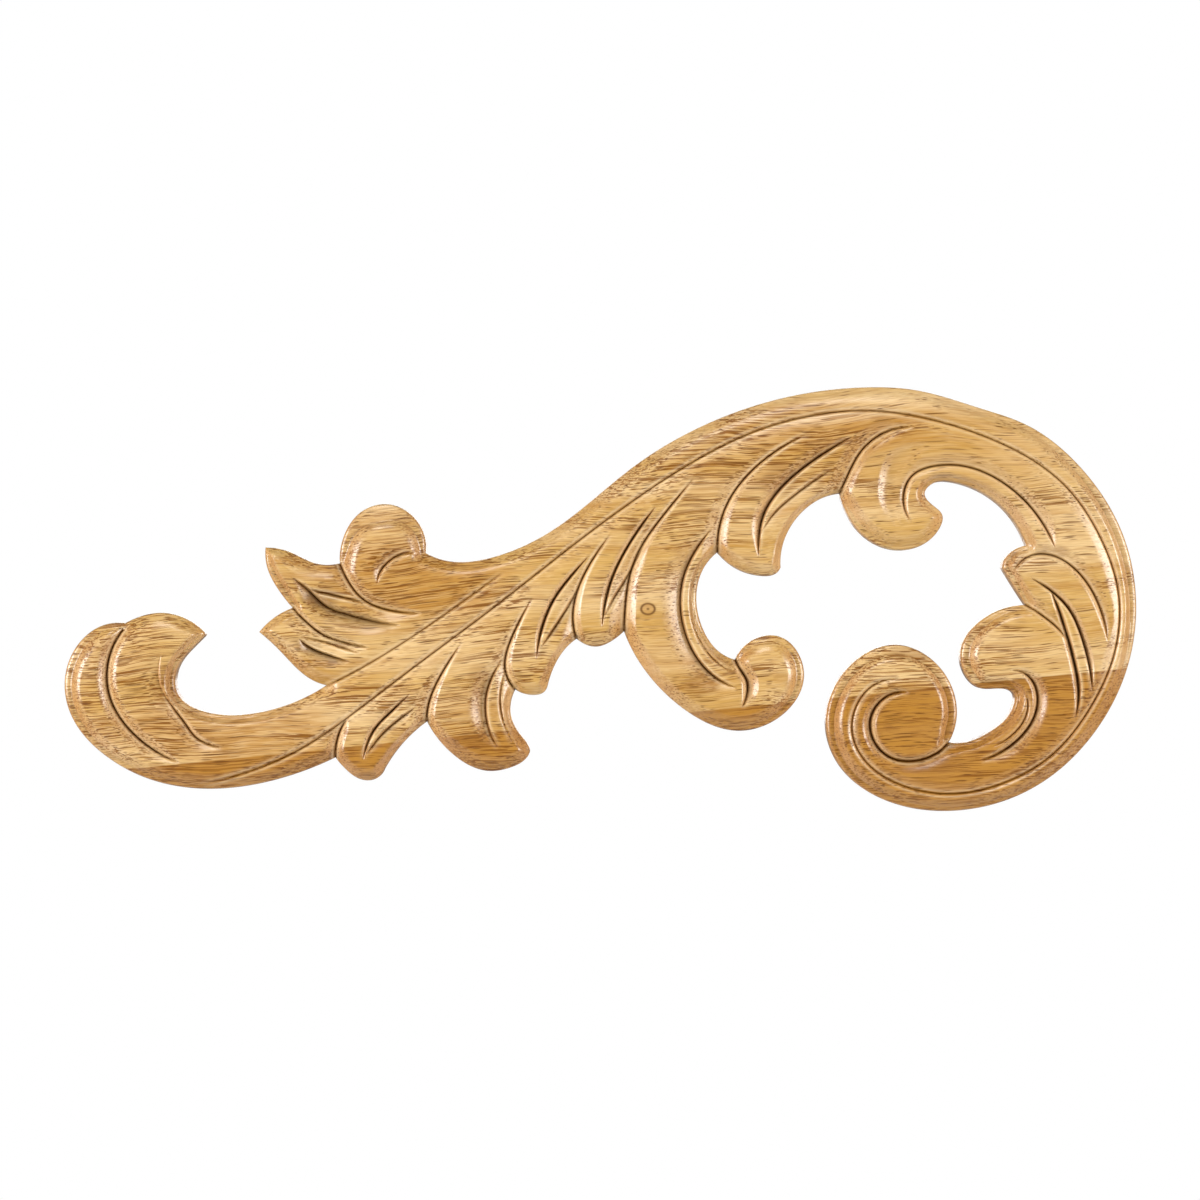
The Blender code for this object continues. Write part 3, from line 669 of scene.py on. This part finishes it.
# %% A field of points between
low, high = to_front(((SHEET_LEFT, SHEET_BOTTOM), (SHEET_RIGHT, SHEET_TOP)))
rows = np.arange(low[1], high[1], FIELD_STEP * np.sqrt(0.75))
columns = np.arange(low[0], high[0], FIELD_STEP)
field = np.array([(x + FIELD_STEP / 2 * (i % 2), z) for i, z in enumerate(rows) for x in columns])
net.add(inside(field, FIELD_INSET), NEAR_FIELD)
print(f"{len(net.points)} points with the field")

# %% [markdown]
# ## The carved piece
# The outline bounds the triangulation, each corner gets its height, and the border is drawn down to
# the flat back with a small chamfer, as a sanded edge has. The front looks toward -Y. What was
# measured about the cuts goes along as two vertex attributes, so that the cuts can be painted darker,
# part stains and part painted shade, and their brinks painted pale as highlights.

# %% The carved front
# Two vertex attributes: the painted darkening of the cuts, stains and shade, and the painted highlights
# along their brinks.
MEASURED = ("stain_and_shade", "painted_highlight")
MERGE_WITHIN = 1e-5


def carved_front(body):
    """Adds the front to the mesh, with its painted darkening and painted highlights, and returns the
    edges of its rim.
    """
    vectors = [Vector(point) for point in net.points]
    rim = list(range(len(OUTER)))
    corners, _, faces, _, _, owners = delaunay_2d_cdt(vectors, [], [rim], 0, MERGE_WITHIN, True)
    corners = np.array([tuple(corner) for corner in corners])
    heights, *measures = front(corners)
    verts = [body.verts.new((x * MM, -h * MM, z * MM)) for (x, z), h in zip(corners, heights)]
    for name, values in zip(MEASURED, measures):
        layer = body.verts.layers.float[name]
        for vert, value in zip(verts, values):
            vert[layer] = value
    for face, owner in zip(faces, owners):
        if owner:
            body.faces.new([verts[i] for i in face])
    bmesh.ops.delete(body, geom=[vert for vert in body.verts if not vert.link_faces], context="VERTS")
    return [edge for edge in body.edges if edge.is_boundary]


# %% The edge and the back
CHAMFER = 0.35


def edge_and_back(body, rim):
    """Draws the rim down to a chamfer and closes the flat back, whose faces it returns."""
    layers = [body.verts.layers.float[name] for name in MEASURED]
    for depth, inset in ((-CHAMFER, 0), (0, CHAMFER)):
        made = bmesh.ops.extrude_edge_only(body, edges=rim)["geom"]
        foot = [part for part in made if isinstance(part, bmesh.types.BMVert)]
        on_foot = set(foot)
        rim = [part for part in made if isinstance(part, bmesh.types.BMEdge)]
        rim = [edge for edge in rim if on_foot.issuperset(edge.verts)]
        where = np.array([(vert.co.x / MM, vert.co.z / MM) for vert in foot])
        _, place, _ = nearest(where, CLOSED)
        for vert, way in zip(foot, inward[np.round(place - 2).astype(int) % len(OUTER)]):
            for layer in layers:
                vert[layer] = 0
            vert.co += Vector((way[0] * inset * MM, 0, way[1] * inset * MM))
            vert.co.y = depth * MM
    made = bmesh.ops.triangle_fill(body, edges=rim, use_beauty=True)["geom"]
    return [part for part in made if isinstance(part, bmesh.types.BMFace)]


# %% Build the carved piece
SHARP_FROM = np.radians(50)


def carved_piece(name):
    """The carved front, the edge and the back, as one closed mesh within the solid's box."""
    body = bmesh.new()
    for measure in MEASURED:
        body.verts.layers.float.new(measure)
    back = edge_and_back(body, carved_front(body))
    bmesh.ops.recalc_face_normals(body, faces=body.faces)
    for face in back:
        face.material_index = 1
    for vert in body.verts:
        vert.co = Vector(min(max(c, low), high) for c, low, high in zip(vert.co, LOW, HIGH))
    mesh = bpy.data.meshes.new(name)
    body.to_mesh(mesh)
    body.free()
    mesh.shade_smooth()
    mesh.set_sharp_from_angle(angle=SHARP_FROM)
    piece = bpy.data.objects.new(name, mesh)
    bpy.context.collection.objects.link(piece)
    return piece


carved = carved_piece("carved_scroll")
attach(carved, "root")
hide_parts(NODE)
print(f"{carved.name}: {len(carved.data.polygons)} triangles")

# %% [markdown]
# ## The wood
# The real one is rubberwood: a light, honey-coloured hardwood with straight grain along the length
# and open pores that show as short brown dashes. It was steamed, pressed and sanded, then given a
# thin satin lacquer, which lets stains settle in the cuts. Here the cuts and hollows are painted
# darker, part stains and part painted shade, and their brinks are painted pale as highlights. To the
# eye that is a warm, even ground with fine streaks, darker end grain on every slope that faces along
# the grain, and soft highlights.
#
# The pattern lies in the wood itself, in three dimensions, so a pore that is a dash on the flat leaf
# becomes a dot on a slope, as in the real thing. A picture wrapped over the front would smear there.

# %% Colours
def colour(hexes):
    """An sRGB hex value as linear red, green, blue and alpha."""
    parts = [int(hexes[i : i + 2], 16) / 255 for i in (1, 3, 5)]
    return tuple(p / 12.92 if p <= 0.04045 else ((p + 0.055) / 1.055) ** 2.4 for p in parts) + (1.0,)


HONEY = colour("#BE9651")
PALE = colour("#D2B280")
TAN = colour("#A6742A")
FIBRE = colour("#6B3A05")
# Pore brown, also painted as shade over stains under the veins of the points.
PORE_AND_SHADE = colour("#552D03")
AMBER = colour("#A06B16")
# Dark brown painted into the cuts and hollows: stains and painted shade.
STAIN_AND_SHADE = colour("#3C1B01")
END_GRAIN = colour("#C08C58")
# Pale cream painted along the brinks of the cuts: painted highlight.
HIGHLIGHT_PAINT = colour("#EBD3A8")
print("honey in linear light:", [round(c, 3) for c in HONEY[:3]])

# %% Nodes
EASED = {"interpolation_type": "SMOOTHSTEP"}
OF_COLOURS = {"data_type": "RGBA", "output": 2}


def add(tree, kind, inputs=(), output=0, **settings):
    """Adds a node and gives back one output. Inputs are values or outputs, in order or by socket."""
    made = tree.nodes.new("ShaderNode" + kind)
    for key, value in settings.items():
        setattr(made, key, value)
    for key, value in inputs.items() if isinstance(inputs, dict) else enumerate(inputs):
        if isinstance(value, bpy.types.NodeSocket):
            tree.links.new(value, made.inputs[key])
        else:
            made.inputs[key].default_value = value
    return made.outputs[output]


def lay(tree, tint, shade, share, mask, span=None):
    """The tint with a shade over it, up to the share, by the mask or by how far it is over the span."""
    if span:
        cover = add(tree, "MapRange", (mask, *span, 0.0, share), **EASED)
    else:
        cover = add(tree, "Math", (mask, share), operation="MULTIPLY")
    return add(tree, "Mix", {0: cover, 6: tint, 7: shade}, **OF_COLOURS)


# %% [markdown]
# ### The block
# The grain of a real board wanders. Two soft noises push the block about, one over the length of a
# hand and one over a fingertip, and everything that follows is drawn in the block so pushed. All of
# it is in millimetres: along, through and up the block.

# %% The block, and noise of a given size in it
TILT = np.radians(3)
WANDERS = ((45.0, (0, 5, 7)), (9.0, (0, 0.5, 0.7)))


def wandering_block(tree, place):
    """The place in the block in millimetres, tilted a little and pushed about."""
    inputs = {"Vector": place, "Scale": (1 / MM, 1 / MM, 1 / MM), "Rotation": (0, TILT, 0)}
    block = add(tree, "Mapping", inputs)
    for size, swing in WANDERS:
        wander = add(tree, "TexNoise", {"Vector": block, "Scale": 1 / size, "Detail": 1.0}, "Color")
        wander = add(tree, "VectorMath", (wander, (0.5, 0.5, 0.5)), operation="SUBTRACT")
        block = add(tree, "VectorMath", (wander, swing, block), operation="MULTIPLY_ADD")
    return block


def patchy(tree, block, size, detail=1.0):
    """Noise with patches of about the size."""
    scaled = add(tree, "Mapping", {"Vector": block, "Scale": [1 / side for side in size]})
    return add(tree, "TexNoise", {"Vector": scaled, "Scale": 1.0, "Detail": detail})


def away_from(tree, place, centre, reach):
    """How far a place on the front is from the centre, as a vector in parts of the reach."""
    shift = (-centre[0] / reach[0], 0, -centre[1] / reach[1])
    scale = (1 / MM / reach[0], 0, 1 / MM / reach[1])
    return add(tree, "Mapping", {"Vector": place, "Location": shift, "Scale": scale})


# %% [markdown]
# ### The ground
# On the honey ground lie pale and tan bands. The lowest strip is amber, parted from the rest by a
# dark seam, as where two boards are glued. Then come the places where the real one is darker or
# lighter, one by one: the centre on the front, how far it reaches, the share and the colour, and how
# much more the fibres crowd there. Their rims are ragged, along the grain. Painting them from the
# photo would be quicker, but then the light in the photo would be painted in as well.
# Among them, the pale patch on the upper right shoulder is a painted highlight, and the two pore-brown
# ones under the veins of the points are painted shade over stains.

# %% Bands, strip and patches
BANDS = (
    (PALE, 1.0, (60, 14, 7), 2.0, (0.35, 0.7)),
    (TAN, 0.75, (45, 9, 3.2), 2.0, (0.48, 0.75)),
    (PALE, 0.35, (8.0, 0.4, 0.24), 1.0, (0.42, 0.65)),
)
AMBER_LEVEL = -27.3
AMBER_SLOPE = 0.101
AMBER_SPAN, AMBER_SHARE = (AMBER_LEVEL + 0.2, AMBER_LEVEL - 0.2), 0.9
SEAM_LEVEL = AMBER_LEVEL - 0.4
SEAM_SPAN, SEAM_SHARE = (0.45, 0.1), 0.4
CROWD_SIZE, CROWD_SPAN = (30, 9, 5), (0.4, 0.62)
CROWD_IN_AMBER = 0.5
RAGGED_SIZE, RAGGED_SPAN, RAGGED_RANGE = (6.0, 0.6, 0.4), (0.4, 0.6), (0.6, 1.1)
PATCH_SPAN = (1.0, 0.2)
PATCHES = (
    ((-42.0, 4.0), (26.0, 11.0), 0.8, TAN, 0.5),
    ((36.0, 31.0), (32.0, 8.0), 0.35, TAN, 0.8),
    ((-80.0, -30.0), (28.0, 9.0), 0.7, TAN, 0.3),
    ((-110.0, -20.0), (18.0, 24.0), 0.2, TAN, 0.6),
    ((-96.5, -19.5), (4.0, 6.0), 0.35, FIBRE, 0.0),
    # Painted highlight on the upper right shoulder.
    ((101.0, 26.0), (20.0, 24.0), 0.5, PALE, -0.3),
    ((78.0, 33.0), (28.0, 14.0), 0.3, TAN, -0.5),
    ((20.0, -16.0), (18.0, 16.0), 0.25, TAN, -0.4),
    ((48.0, 38.5), (30.0, 7.0), 0.6, TAN, 0.5),
    ((-48.0, 14.0), (12.0, 11.0), 0.3, TAN, -0.5),
    ((-30.0, -12.0), (22.0, 7.0), 0.6, PALE, 0.0),
    # Painted shade over stains in the hollows under the veins of the two points.
    ((-62.4, 0.2), (5.5, 2.6), 0.55, PORE_AND_SHADE, 0.0),
    ((-65.5, -10.7), (4.0, 1.8), 0.4, PORE_AND_SHADE, 0.0),
    ((-27.2, -18.1), (3.0, 4.5), 0.35, FIBRE, 0.0),
    ((-29.2, -32.0), (7.0, 2.2), 0.35, FIBRE, 0.0),
    ((73.2, -36.9), (9.0, 2.5), 0.5, FIBRE, 0.0),
    ((22.3, -18.8), (5.0, 3.0), 0.35, FIBRE, 0.0),
    ((92.5, 9.5), (3.5, 3.0), 0.45, FIBRE, 0.0),
    ((72.0, -12.0), (9.0, 2.5), 0.35, FIBRE, 0.0),
    ((101.0, 10.5), (4.5, 2.0), 0.35, FIBRE, 0.0),
    ((40.0, 26.5), (5.0, 5.0), 0.35, FIBRE, 0.3),
)


def ground(tree, place, block):
    """The colour under the fibres, and how much they crowd at each point."""
    tint = HONEY
    for shade, share, size, detail, span in BANDS:
        tint = lay(tree, tint, shade, share, patchy(tree, block, size, detail), span)
    upright = (-AMBER_SLOPE / MM, 0, 1 / MM)
    level = add(tree, "VectorMath", (place, upright), "Value", operation="DOT_PRODUCT")
    tint = lay(tree, tint, AMBER, AMBER_SHARE, level, AMBER_SPAN)
    off_seam = add(tree, "Math", (level, SEAM_LEVEL), operation="SUBTRACT")
    off_seam = add(tree, "Math", (off_seam,), operation="ABSOLUTE")
    tint = lay(tree, tint, FIBRE, SEAM_SHARE, off_seam, SEAM_SPAN)

    crowd = add(tree, "MapRange", (patchy(tree, block, CROWD_SIZE), *CROWD_SPAN), **EASED)
    more = add(tree, "MapRange", (level, *AMBER_SPAN, 0.0, CROWD_IN_AMBER), **EASED)
    crowd = add(tree, "Math", (crowd, more), operation="ADD")
    ragged = patchy(tree, block, RAGGED_SIZE)
    ragged = add(tree, "MapRange", (ragged, *RAGGED_SPAN, *RAGGED_RANGE), **EASED)
    for centre, reach, share, shade, crowding in PATCHES:
        away = away_from(tree, place, centre, reach)
        square = add(tree, "VectorMath", (away, away), "Value", operation="DOT_PRODUCT")
        patch = add(tree, "MapRange", (square, *PATCH_SPAN), **EASED)
        torn = add(tree, "Math", (patch, ragged), operation="MULTIPLY")
        tint = lay(tree, tint, shade, share, torn)
        crowd = add(tree, "Math", (patch, crowding, crowd), operation="MULTIPLY_ADD")
    return tint, add(tree, "MapRange", (crowd,), **EASED)


# %% [markdown]
# ### Fibres and pores
# Streaks of darker fibre run along the grain in three lengths. The pores are cells of a Voronoi
# pattern drawn out along the grain; in a share of them lies a dash, and more of them hold one where
# the fibres crowd. The pores of rubberwood are up to about 0.3 mm wide, just enough to show here.

# %% Fibres and pores
STREAKS = (
    ((36.0, 1.2, 0.34), 0.95),
    ((18.0, 0.8, 0.28), 0.95),
    ((9.0, 0.45, 0.26), 0.95),
)
STREAK_SPAN = (0.6, 0.63)
FIBRES_LEAST, FIBRES_MORE = 0.25, 0.8
PORES = ((15.0, 0.6, 0.32, 0.85), (7.0, 0.45, 0.32, 0.75))
PORES_LEAST = 0.45
PORE_CORE = 0.35


def fibre_mask(tree, block, crowd):
    """Where the darker fibres are."""
    fibre = 0.0
    for size, weight in STREAKS:
        streak = add(tree, "MapRange", (patchy(tree, block, size), *STREAK_SPAN, 0.0, weight), **EASED)
        fibre = add(tree, "Math", (fibre, streak), operation="MAXIMUM")
    density = add(tree, "Math", (crowd, FIBRES_MORE, FIBRES_LEAST), operation="MULTIPLY_ADD")
    return add(tree, "Math", (fibre, density), operation="MULTIPLY")


def pore_mask(tree, block, crowd):
    """Where the pores are, from 0 to 1 by how deep each one is."""
    pores = 0.0
    density = add(tree, "Math", (crowd, PORES_LEAST), operation="ADD")
    for length, width, radius, share in PORES:
        scaled = add(tree, "Mapping", {"Vector": block, "Scale": (1 / length, 1 / width, 1 / width)})
        distance = add(tree, "TexVoronoi", {"Vector": scaled, "Scale": 1.0}, "Distance")
        chance = add(tree, "SeparateXYZ", (distance.node.outputs["Color"],))
        wanted = add(tree, "Math", (density, share), operation="MULTIPLY")
        there = add(tree, "Math", (chance, wanted), operation="LESS_THAN")
        core = add(tree, "MapRange", (distance, radius, radius * PORE_CORE), **EASED)
        depth = add(tree, "Math", (chance.node.outputs["Y"], 0.5, 0.5), operation="MULTIPLY_ADD")
        pore = add(tree, "Math", (core, there), operation="MULTIPLY")
        pore = add(tree, "Math", (pore, depth), operation="MULTIPLY")
        pores = add(tree, "Math", (pores, pore), operation="MAXIMUM")
    return pores


# %% [markdown]
# ### Knot, end grain, finish and painted light
# One small knot sits in the C curl: an amber disc, a ring and a pip, a little wider than high. Where
# a slope faces along the grain, the cut fibres show as warmer end grain with fine speckles. The cuts
# painted darker, part stains and part painted shade, and the highlights painted pale along their
# brinks come from the vertex attributes of the cuts, and go over everything else.

# %% Knot, end grain, finish and painted light
KNOT = (10.6, -2.2)
KNOT_OVAL = (1.25, 1.0)
KNOT_SPAN, KNOT_SHARE = (2.0, 0.8), 0.4
KNOT_RINGS = ((1.2, 0.4, 0.85), (0.0, 0.45, 0.85))
END_GRAIN_SPAN, END_GRAIN_SHARE = (0.2, 0.8), 0.5
SPECKLE_SIZE, SPECKLE_SPAN, SPECKLE_SLOPE = (0.5, 0.4, 0.4), (0.54, 0.64), (0.15, 0.5)
SPECKLE_SHARE = 0.2
FIBRE_SHARE = 0.9
BROWN_SIZE, BROWN_SPAN, BROWN_SHARE = (5.0, 0.35, 0.22), (0.4, 0.65), 0.3
HIGHLIGHT_PAINT_SHARE, PORE_SHARE, STAIN_AND_SHADE_SHARE = 0.55, 0.95, 0.85
LACQUER_LOST = 0.6


def with_knot(tree, tint, place):
    """The tint with the knot in it."""
    away = away_from(tree, place, KNOT, KNOT_OVAL)
    radius = add(tree, "VectorMath", (away,), "Value", operation="LENGTH")
    tint = lay(tree, tint, AMBER, KNOT_SHARE, radius, KNOT_SPAN)
    for ring, width, share in KNOT_RINGS:
        off_ring = add(tree, "Math", (radius, ring), operation="SUBTRACT")
        off_ring = add(tree, "Math", (off_ring,), operation="ABSOLUTE")
        tint = lay(tree, tint, PORE_AND_SHADE, share, off_ring, (width, 0.0))
    return tint


def with_end_grain(tree, tint, block):
    """The tint with end grain on the slopes that face along the block."""
    slope = add(tree, "SeparateXYZ", (add(tree, "NewGeometry", (), "Normal"),))
    slope = add(tree, "Math", (slope,), operation="ABSOLUTE")
    tint = lay(tree, tint, END_GRAIN, END_GRAIN_SHARE, slope, END_GRAIN_SPAN)
    cut_across = add(tree, "MapRange", (slope, *SPECKLE_SLOPE), **EASED)
    speckle = patchy(tree, block, SPECKLE_SIZE, 2.0)
    speckle = add(tree, "MapRange", (speckle, *SPECKLE_SPAN), **EASED)
    speckle = add(tree, "Math", (speckle, cut_across), operation="MULTIPLY")
    return lay(tree, tint, FIBRE, SPECKLE_SHARE, speckle)


def wood_pattern(tree):
    """For any point of the block: colour, pores, darker fibres, and how well lacquer lies on it."""
    place = add(tree, "TexCoord", (), "Object")
    block = wandering_block(tree, place)
    tint, crowd = ground(tree, place, block)
    fibre, pores = fibre_mask(tree, block, crowd), pore_mask(tree, block, crowd)
    tint = lay(tree, tint, FIBRE, FIBRE_SHARE, fibre)
    tint = lay(tree, tint, TAN, BROWN_SHARE, patchy(tree, block, BROWN_SIZE), BROWN_SPAN)
    tint = with_end_grain(tree, with_knot(tree, tint, place), block)
    highlight_mask = add(tree, "Attribute", (), "Fac", attribute_name="painted_highlight")
    stain_and_shade_mask = add(tree, "Attribute", (), "Fac", attribute_name="stain_and_shade")
    # Highlights painted pale along the brinks of the cuts.
    tint = lay(tree, tint, HIGHLIGHT_PAINT, HIGHLIGHT_PAINT_SHARE, highlight_mask)
    tint = lay(tree, tint, PORE_AND_SHADE, PORE_SHARE, pores)
    # The cuts and hollows painted darker: stains and painted shade.
    tint = lay(tree, tint, STAIN_AND_SHADE, STAIN_AND_SHADE_SHARE, stain_and_shade_mask)
    open_grain = add(tree, "Math", (pores, fibre), operation="MAXIMUM")
    lacquered = add(tree, "Math", (open_grain, -LACQUER_LOST, 1.0), operation="MULTIPLY_ADD")
    clean = add(tree, "Math", (1.0, stain_and_shade_mask), operation="SUBTRACT")
    return tint, pores, fibre, add(tree, "Math", (clean, lacquered), operation="MULTIPLY")


# %% [markdown]
# ### The two finishes
# The front and the edge have the satin lacquer: a thin coat that gives crisp but not mirror-like
# highlights, less of it where the grain is open or where the cuts are painted dark. The back is bare
# sanded wood, which is rougher and has no coat. The fibres stand up a little and the pores lie a
# little deep, which a bump shows well enough at this size.

# %% Make the two materials
WOOD_IOR = 1.5
WOOD_SHINE = 0.4
LACQUER_ROUGHNESS = 0.24
SMOOTHER, ROUGHER = 0.05, 0.08
BUMP_STRENGTH, BUMP_DEPTH = 0.3, 0.12


def rubberwood(name, roughness, lacquer):
    """Rubberwood, with its roughness in the open and the weight of the lacquer over it."""
    material = bpy.data.materials.new(name)
    material.use_nodes = True
    tree = material.node_tree
    shader = tree.nodes["Principled BSDF"]
    tint, pores, fibre, clear = wood_pattern(tree)
    height = add(tree, "Math", (pores, -1.0, fibre), operation="MULTIPLY_ADD")
    inputs = {"Value": fibre, "To Min": roughness - SMOOTHER, "To Max": roughness + ROUGHER}
    bumps = {"Height": height, "Strength": BUMP_STRENGTH, "Distance": BUMP_DEPTH * MM}
    links = {
        "Base Color": tint,
        "Roughness": add(tree, "MapRange", inputs),
        "Specular IOR Level": add(tree, "Math", (clear, WOOD_SHINE), operation="MULTIPLY"),
        "Coat Weight": add(tree, "Math", (clear, lacquer), operation="MULTIPLY"),
        "Normal": add(tree, "Bump", bumps),
    }
    for socket, made in links.items():
        tree.links.new(made, shader.inputs[socket])
    shader.inputs["IOR"].default_value = WOOD_IOR
    shader.inputs["Coat IOR"].default_value = WOOD_IOR
    shader.inputs["Coat Roughness"].default_value = LACQUER_ROUGHNESS
    return material


carved.data.materials.append(rubberwood("lacquered_rubberwood", 0.4, 0.7))
carved.data.materials.append(rubberwood("bare_rubberwood", 0.72, 0.0))
print("materials:", [material.name for material in carved.data.materials])

# %% [markdown]
# ## The studio
# A small part for sale is shown straight from the front on pure white. Two large soft lights, one on
# each side, give every shoulder a highlight along the cut beside it. Weaker ones from above and from
# the front keep the cuts from going black, and one behind lights the back. The world is white where
# the camera looks at it and dimmer where it gives light. The floor is far enough below to stay out
# of this view.

# %% Floor
FLOOR_LEVEL = -0.5
FLOOR_SIDE = 1.6
bpy.ops.mesh.primitive_plane_add(size=FLOOR_SIDE, location=(0, 0, FLOOR_LEVEL))
floor = bpy.context.object
floor.name = "pale_floor"
paint = bpy.data.materials.new("matt_white_paint")
paint.use_nodes = True
shader = paint.node_tree.nodes["Principled BSDF"]
shader.inputs["Base Color"].default_value = colour("#E8E7E4")
shader.inputs["Roughness"].default_value = 0.8
floor.data.materials.append(paint)
print(f"the floor lies {-FLOOR_LEVEL * 1000:.0f} mm below the middle")

# %% World
AMBIENT = 0.17
world = bpy.data.worlds.new("studio")
bpy.context.scene.world = world
world.use_nodes = True
tree = world.node_tree
backdrop = tree.nodes["Background"]
backdrop.inputs["Color"].default_value = colour("#FFFFFF")
seen = add(tree, "LightPath", (), "Is Camera Ray")
strength = add(tree, "MapRange", {"Value": seen, "To Min": AMBIENT, "To Max": 1.0})
tree.links.new(strength, backdrop.inputs["Strength"])
print(f"light from all round: {AMBIENT}")

# %% Lights
LIGHTS = {
    "left_softbox": ((-1.12, -0.62, 0.15), 18.8, 0.6),
    "right_softbox": ((1.12, -0.62, 0.15), 15.9, 0.6),
    "front_softbox": ((0.0, -1.4, 0.9), 2.7, 1.0),
    "top_softbox": ((-0.2, -0.7, 1.1), 6.6, 0.6),
    "back_softbox": ((0.0, 1.5, 0.4), 7.0, 1.0),
}
for name, (place, power, side) in LIGHTS.items():
    data = bpy.data.lights.new(name, "AREA")
    data.energy = power
    data.size = side
    light = bpy.data.objects.new(name, data)
    light.location = place
    light.rotation_euler = (-Vector(place)).to_track_quat("-Z", "Y").to_euler()
    bpy.context.collection.objects.link(light)
print(f"{len(LIGHTS)} soft lights")

# %% Camera
LENS = 100
SENSOR = 36
SHEET_SIDE = 1200
AIM = (-0.09 * MM, -0.20 * MM)
OUTLINE_DEPTH = -4.7
view_side = SHEET_SIDE * SCALE * MM
data = bpy.data.cameras.new("camera")
data.lens, data.sensor_width, data.sensor_fit = LENS, SENSOR, "AUTO"
camera = bpy.data.objects.new("camera", data)
camera.location = (AIM[0], OUTLINE_DEPTH * MM - view_side * LENS / SENSOR, AIM[1])
camera.rotation_euler = (np.radians(90), 0, 0)
bpy.context.collection.objects.link(camera)
bpy.context.scene.camera = camera
bpy.context.scene.view_settings.view_transform = "Standard"
print(f"the camera stands {-camera.location.y:.3f} m in front of the back")
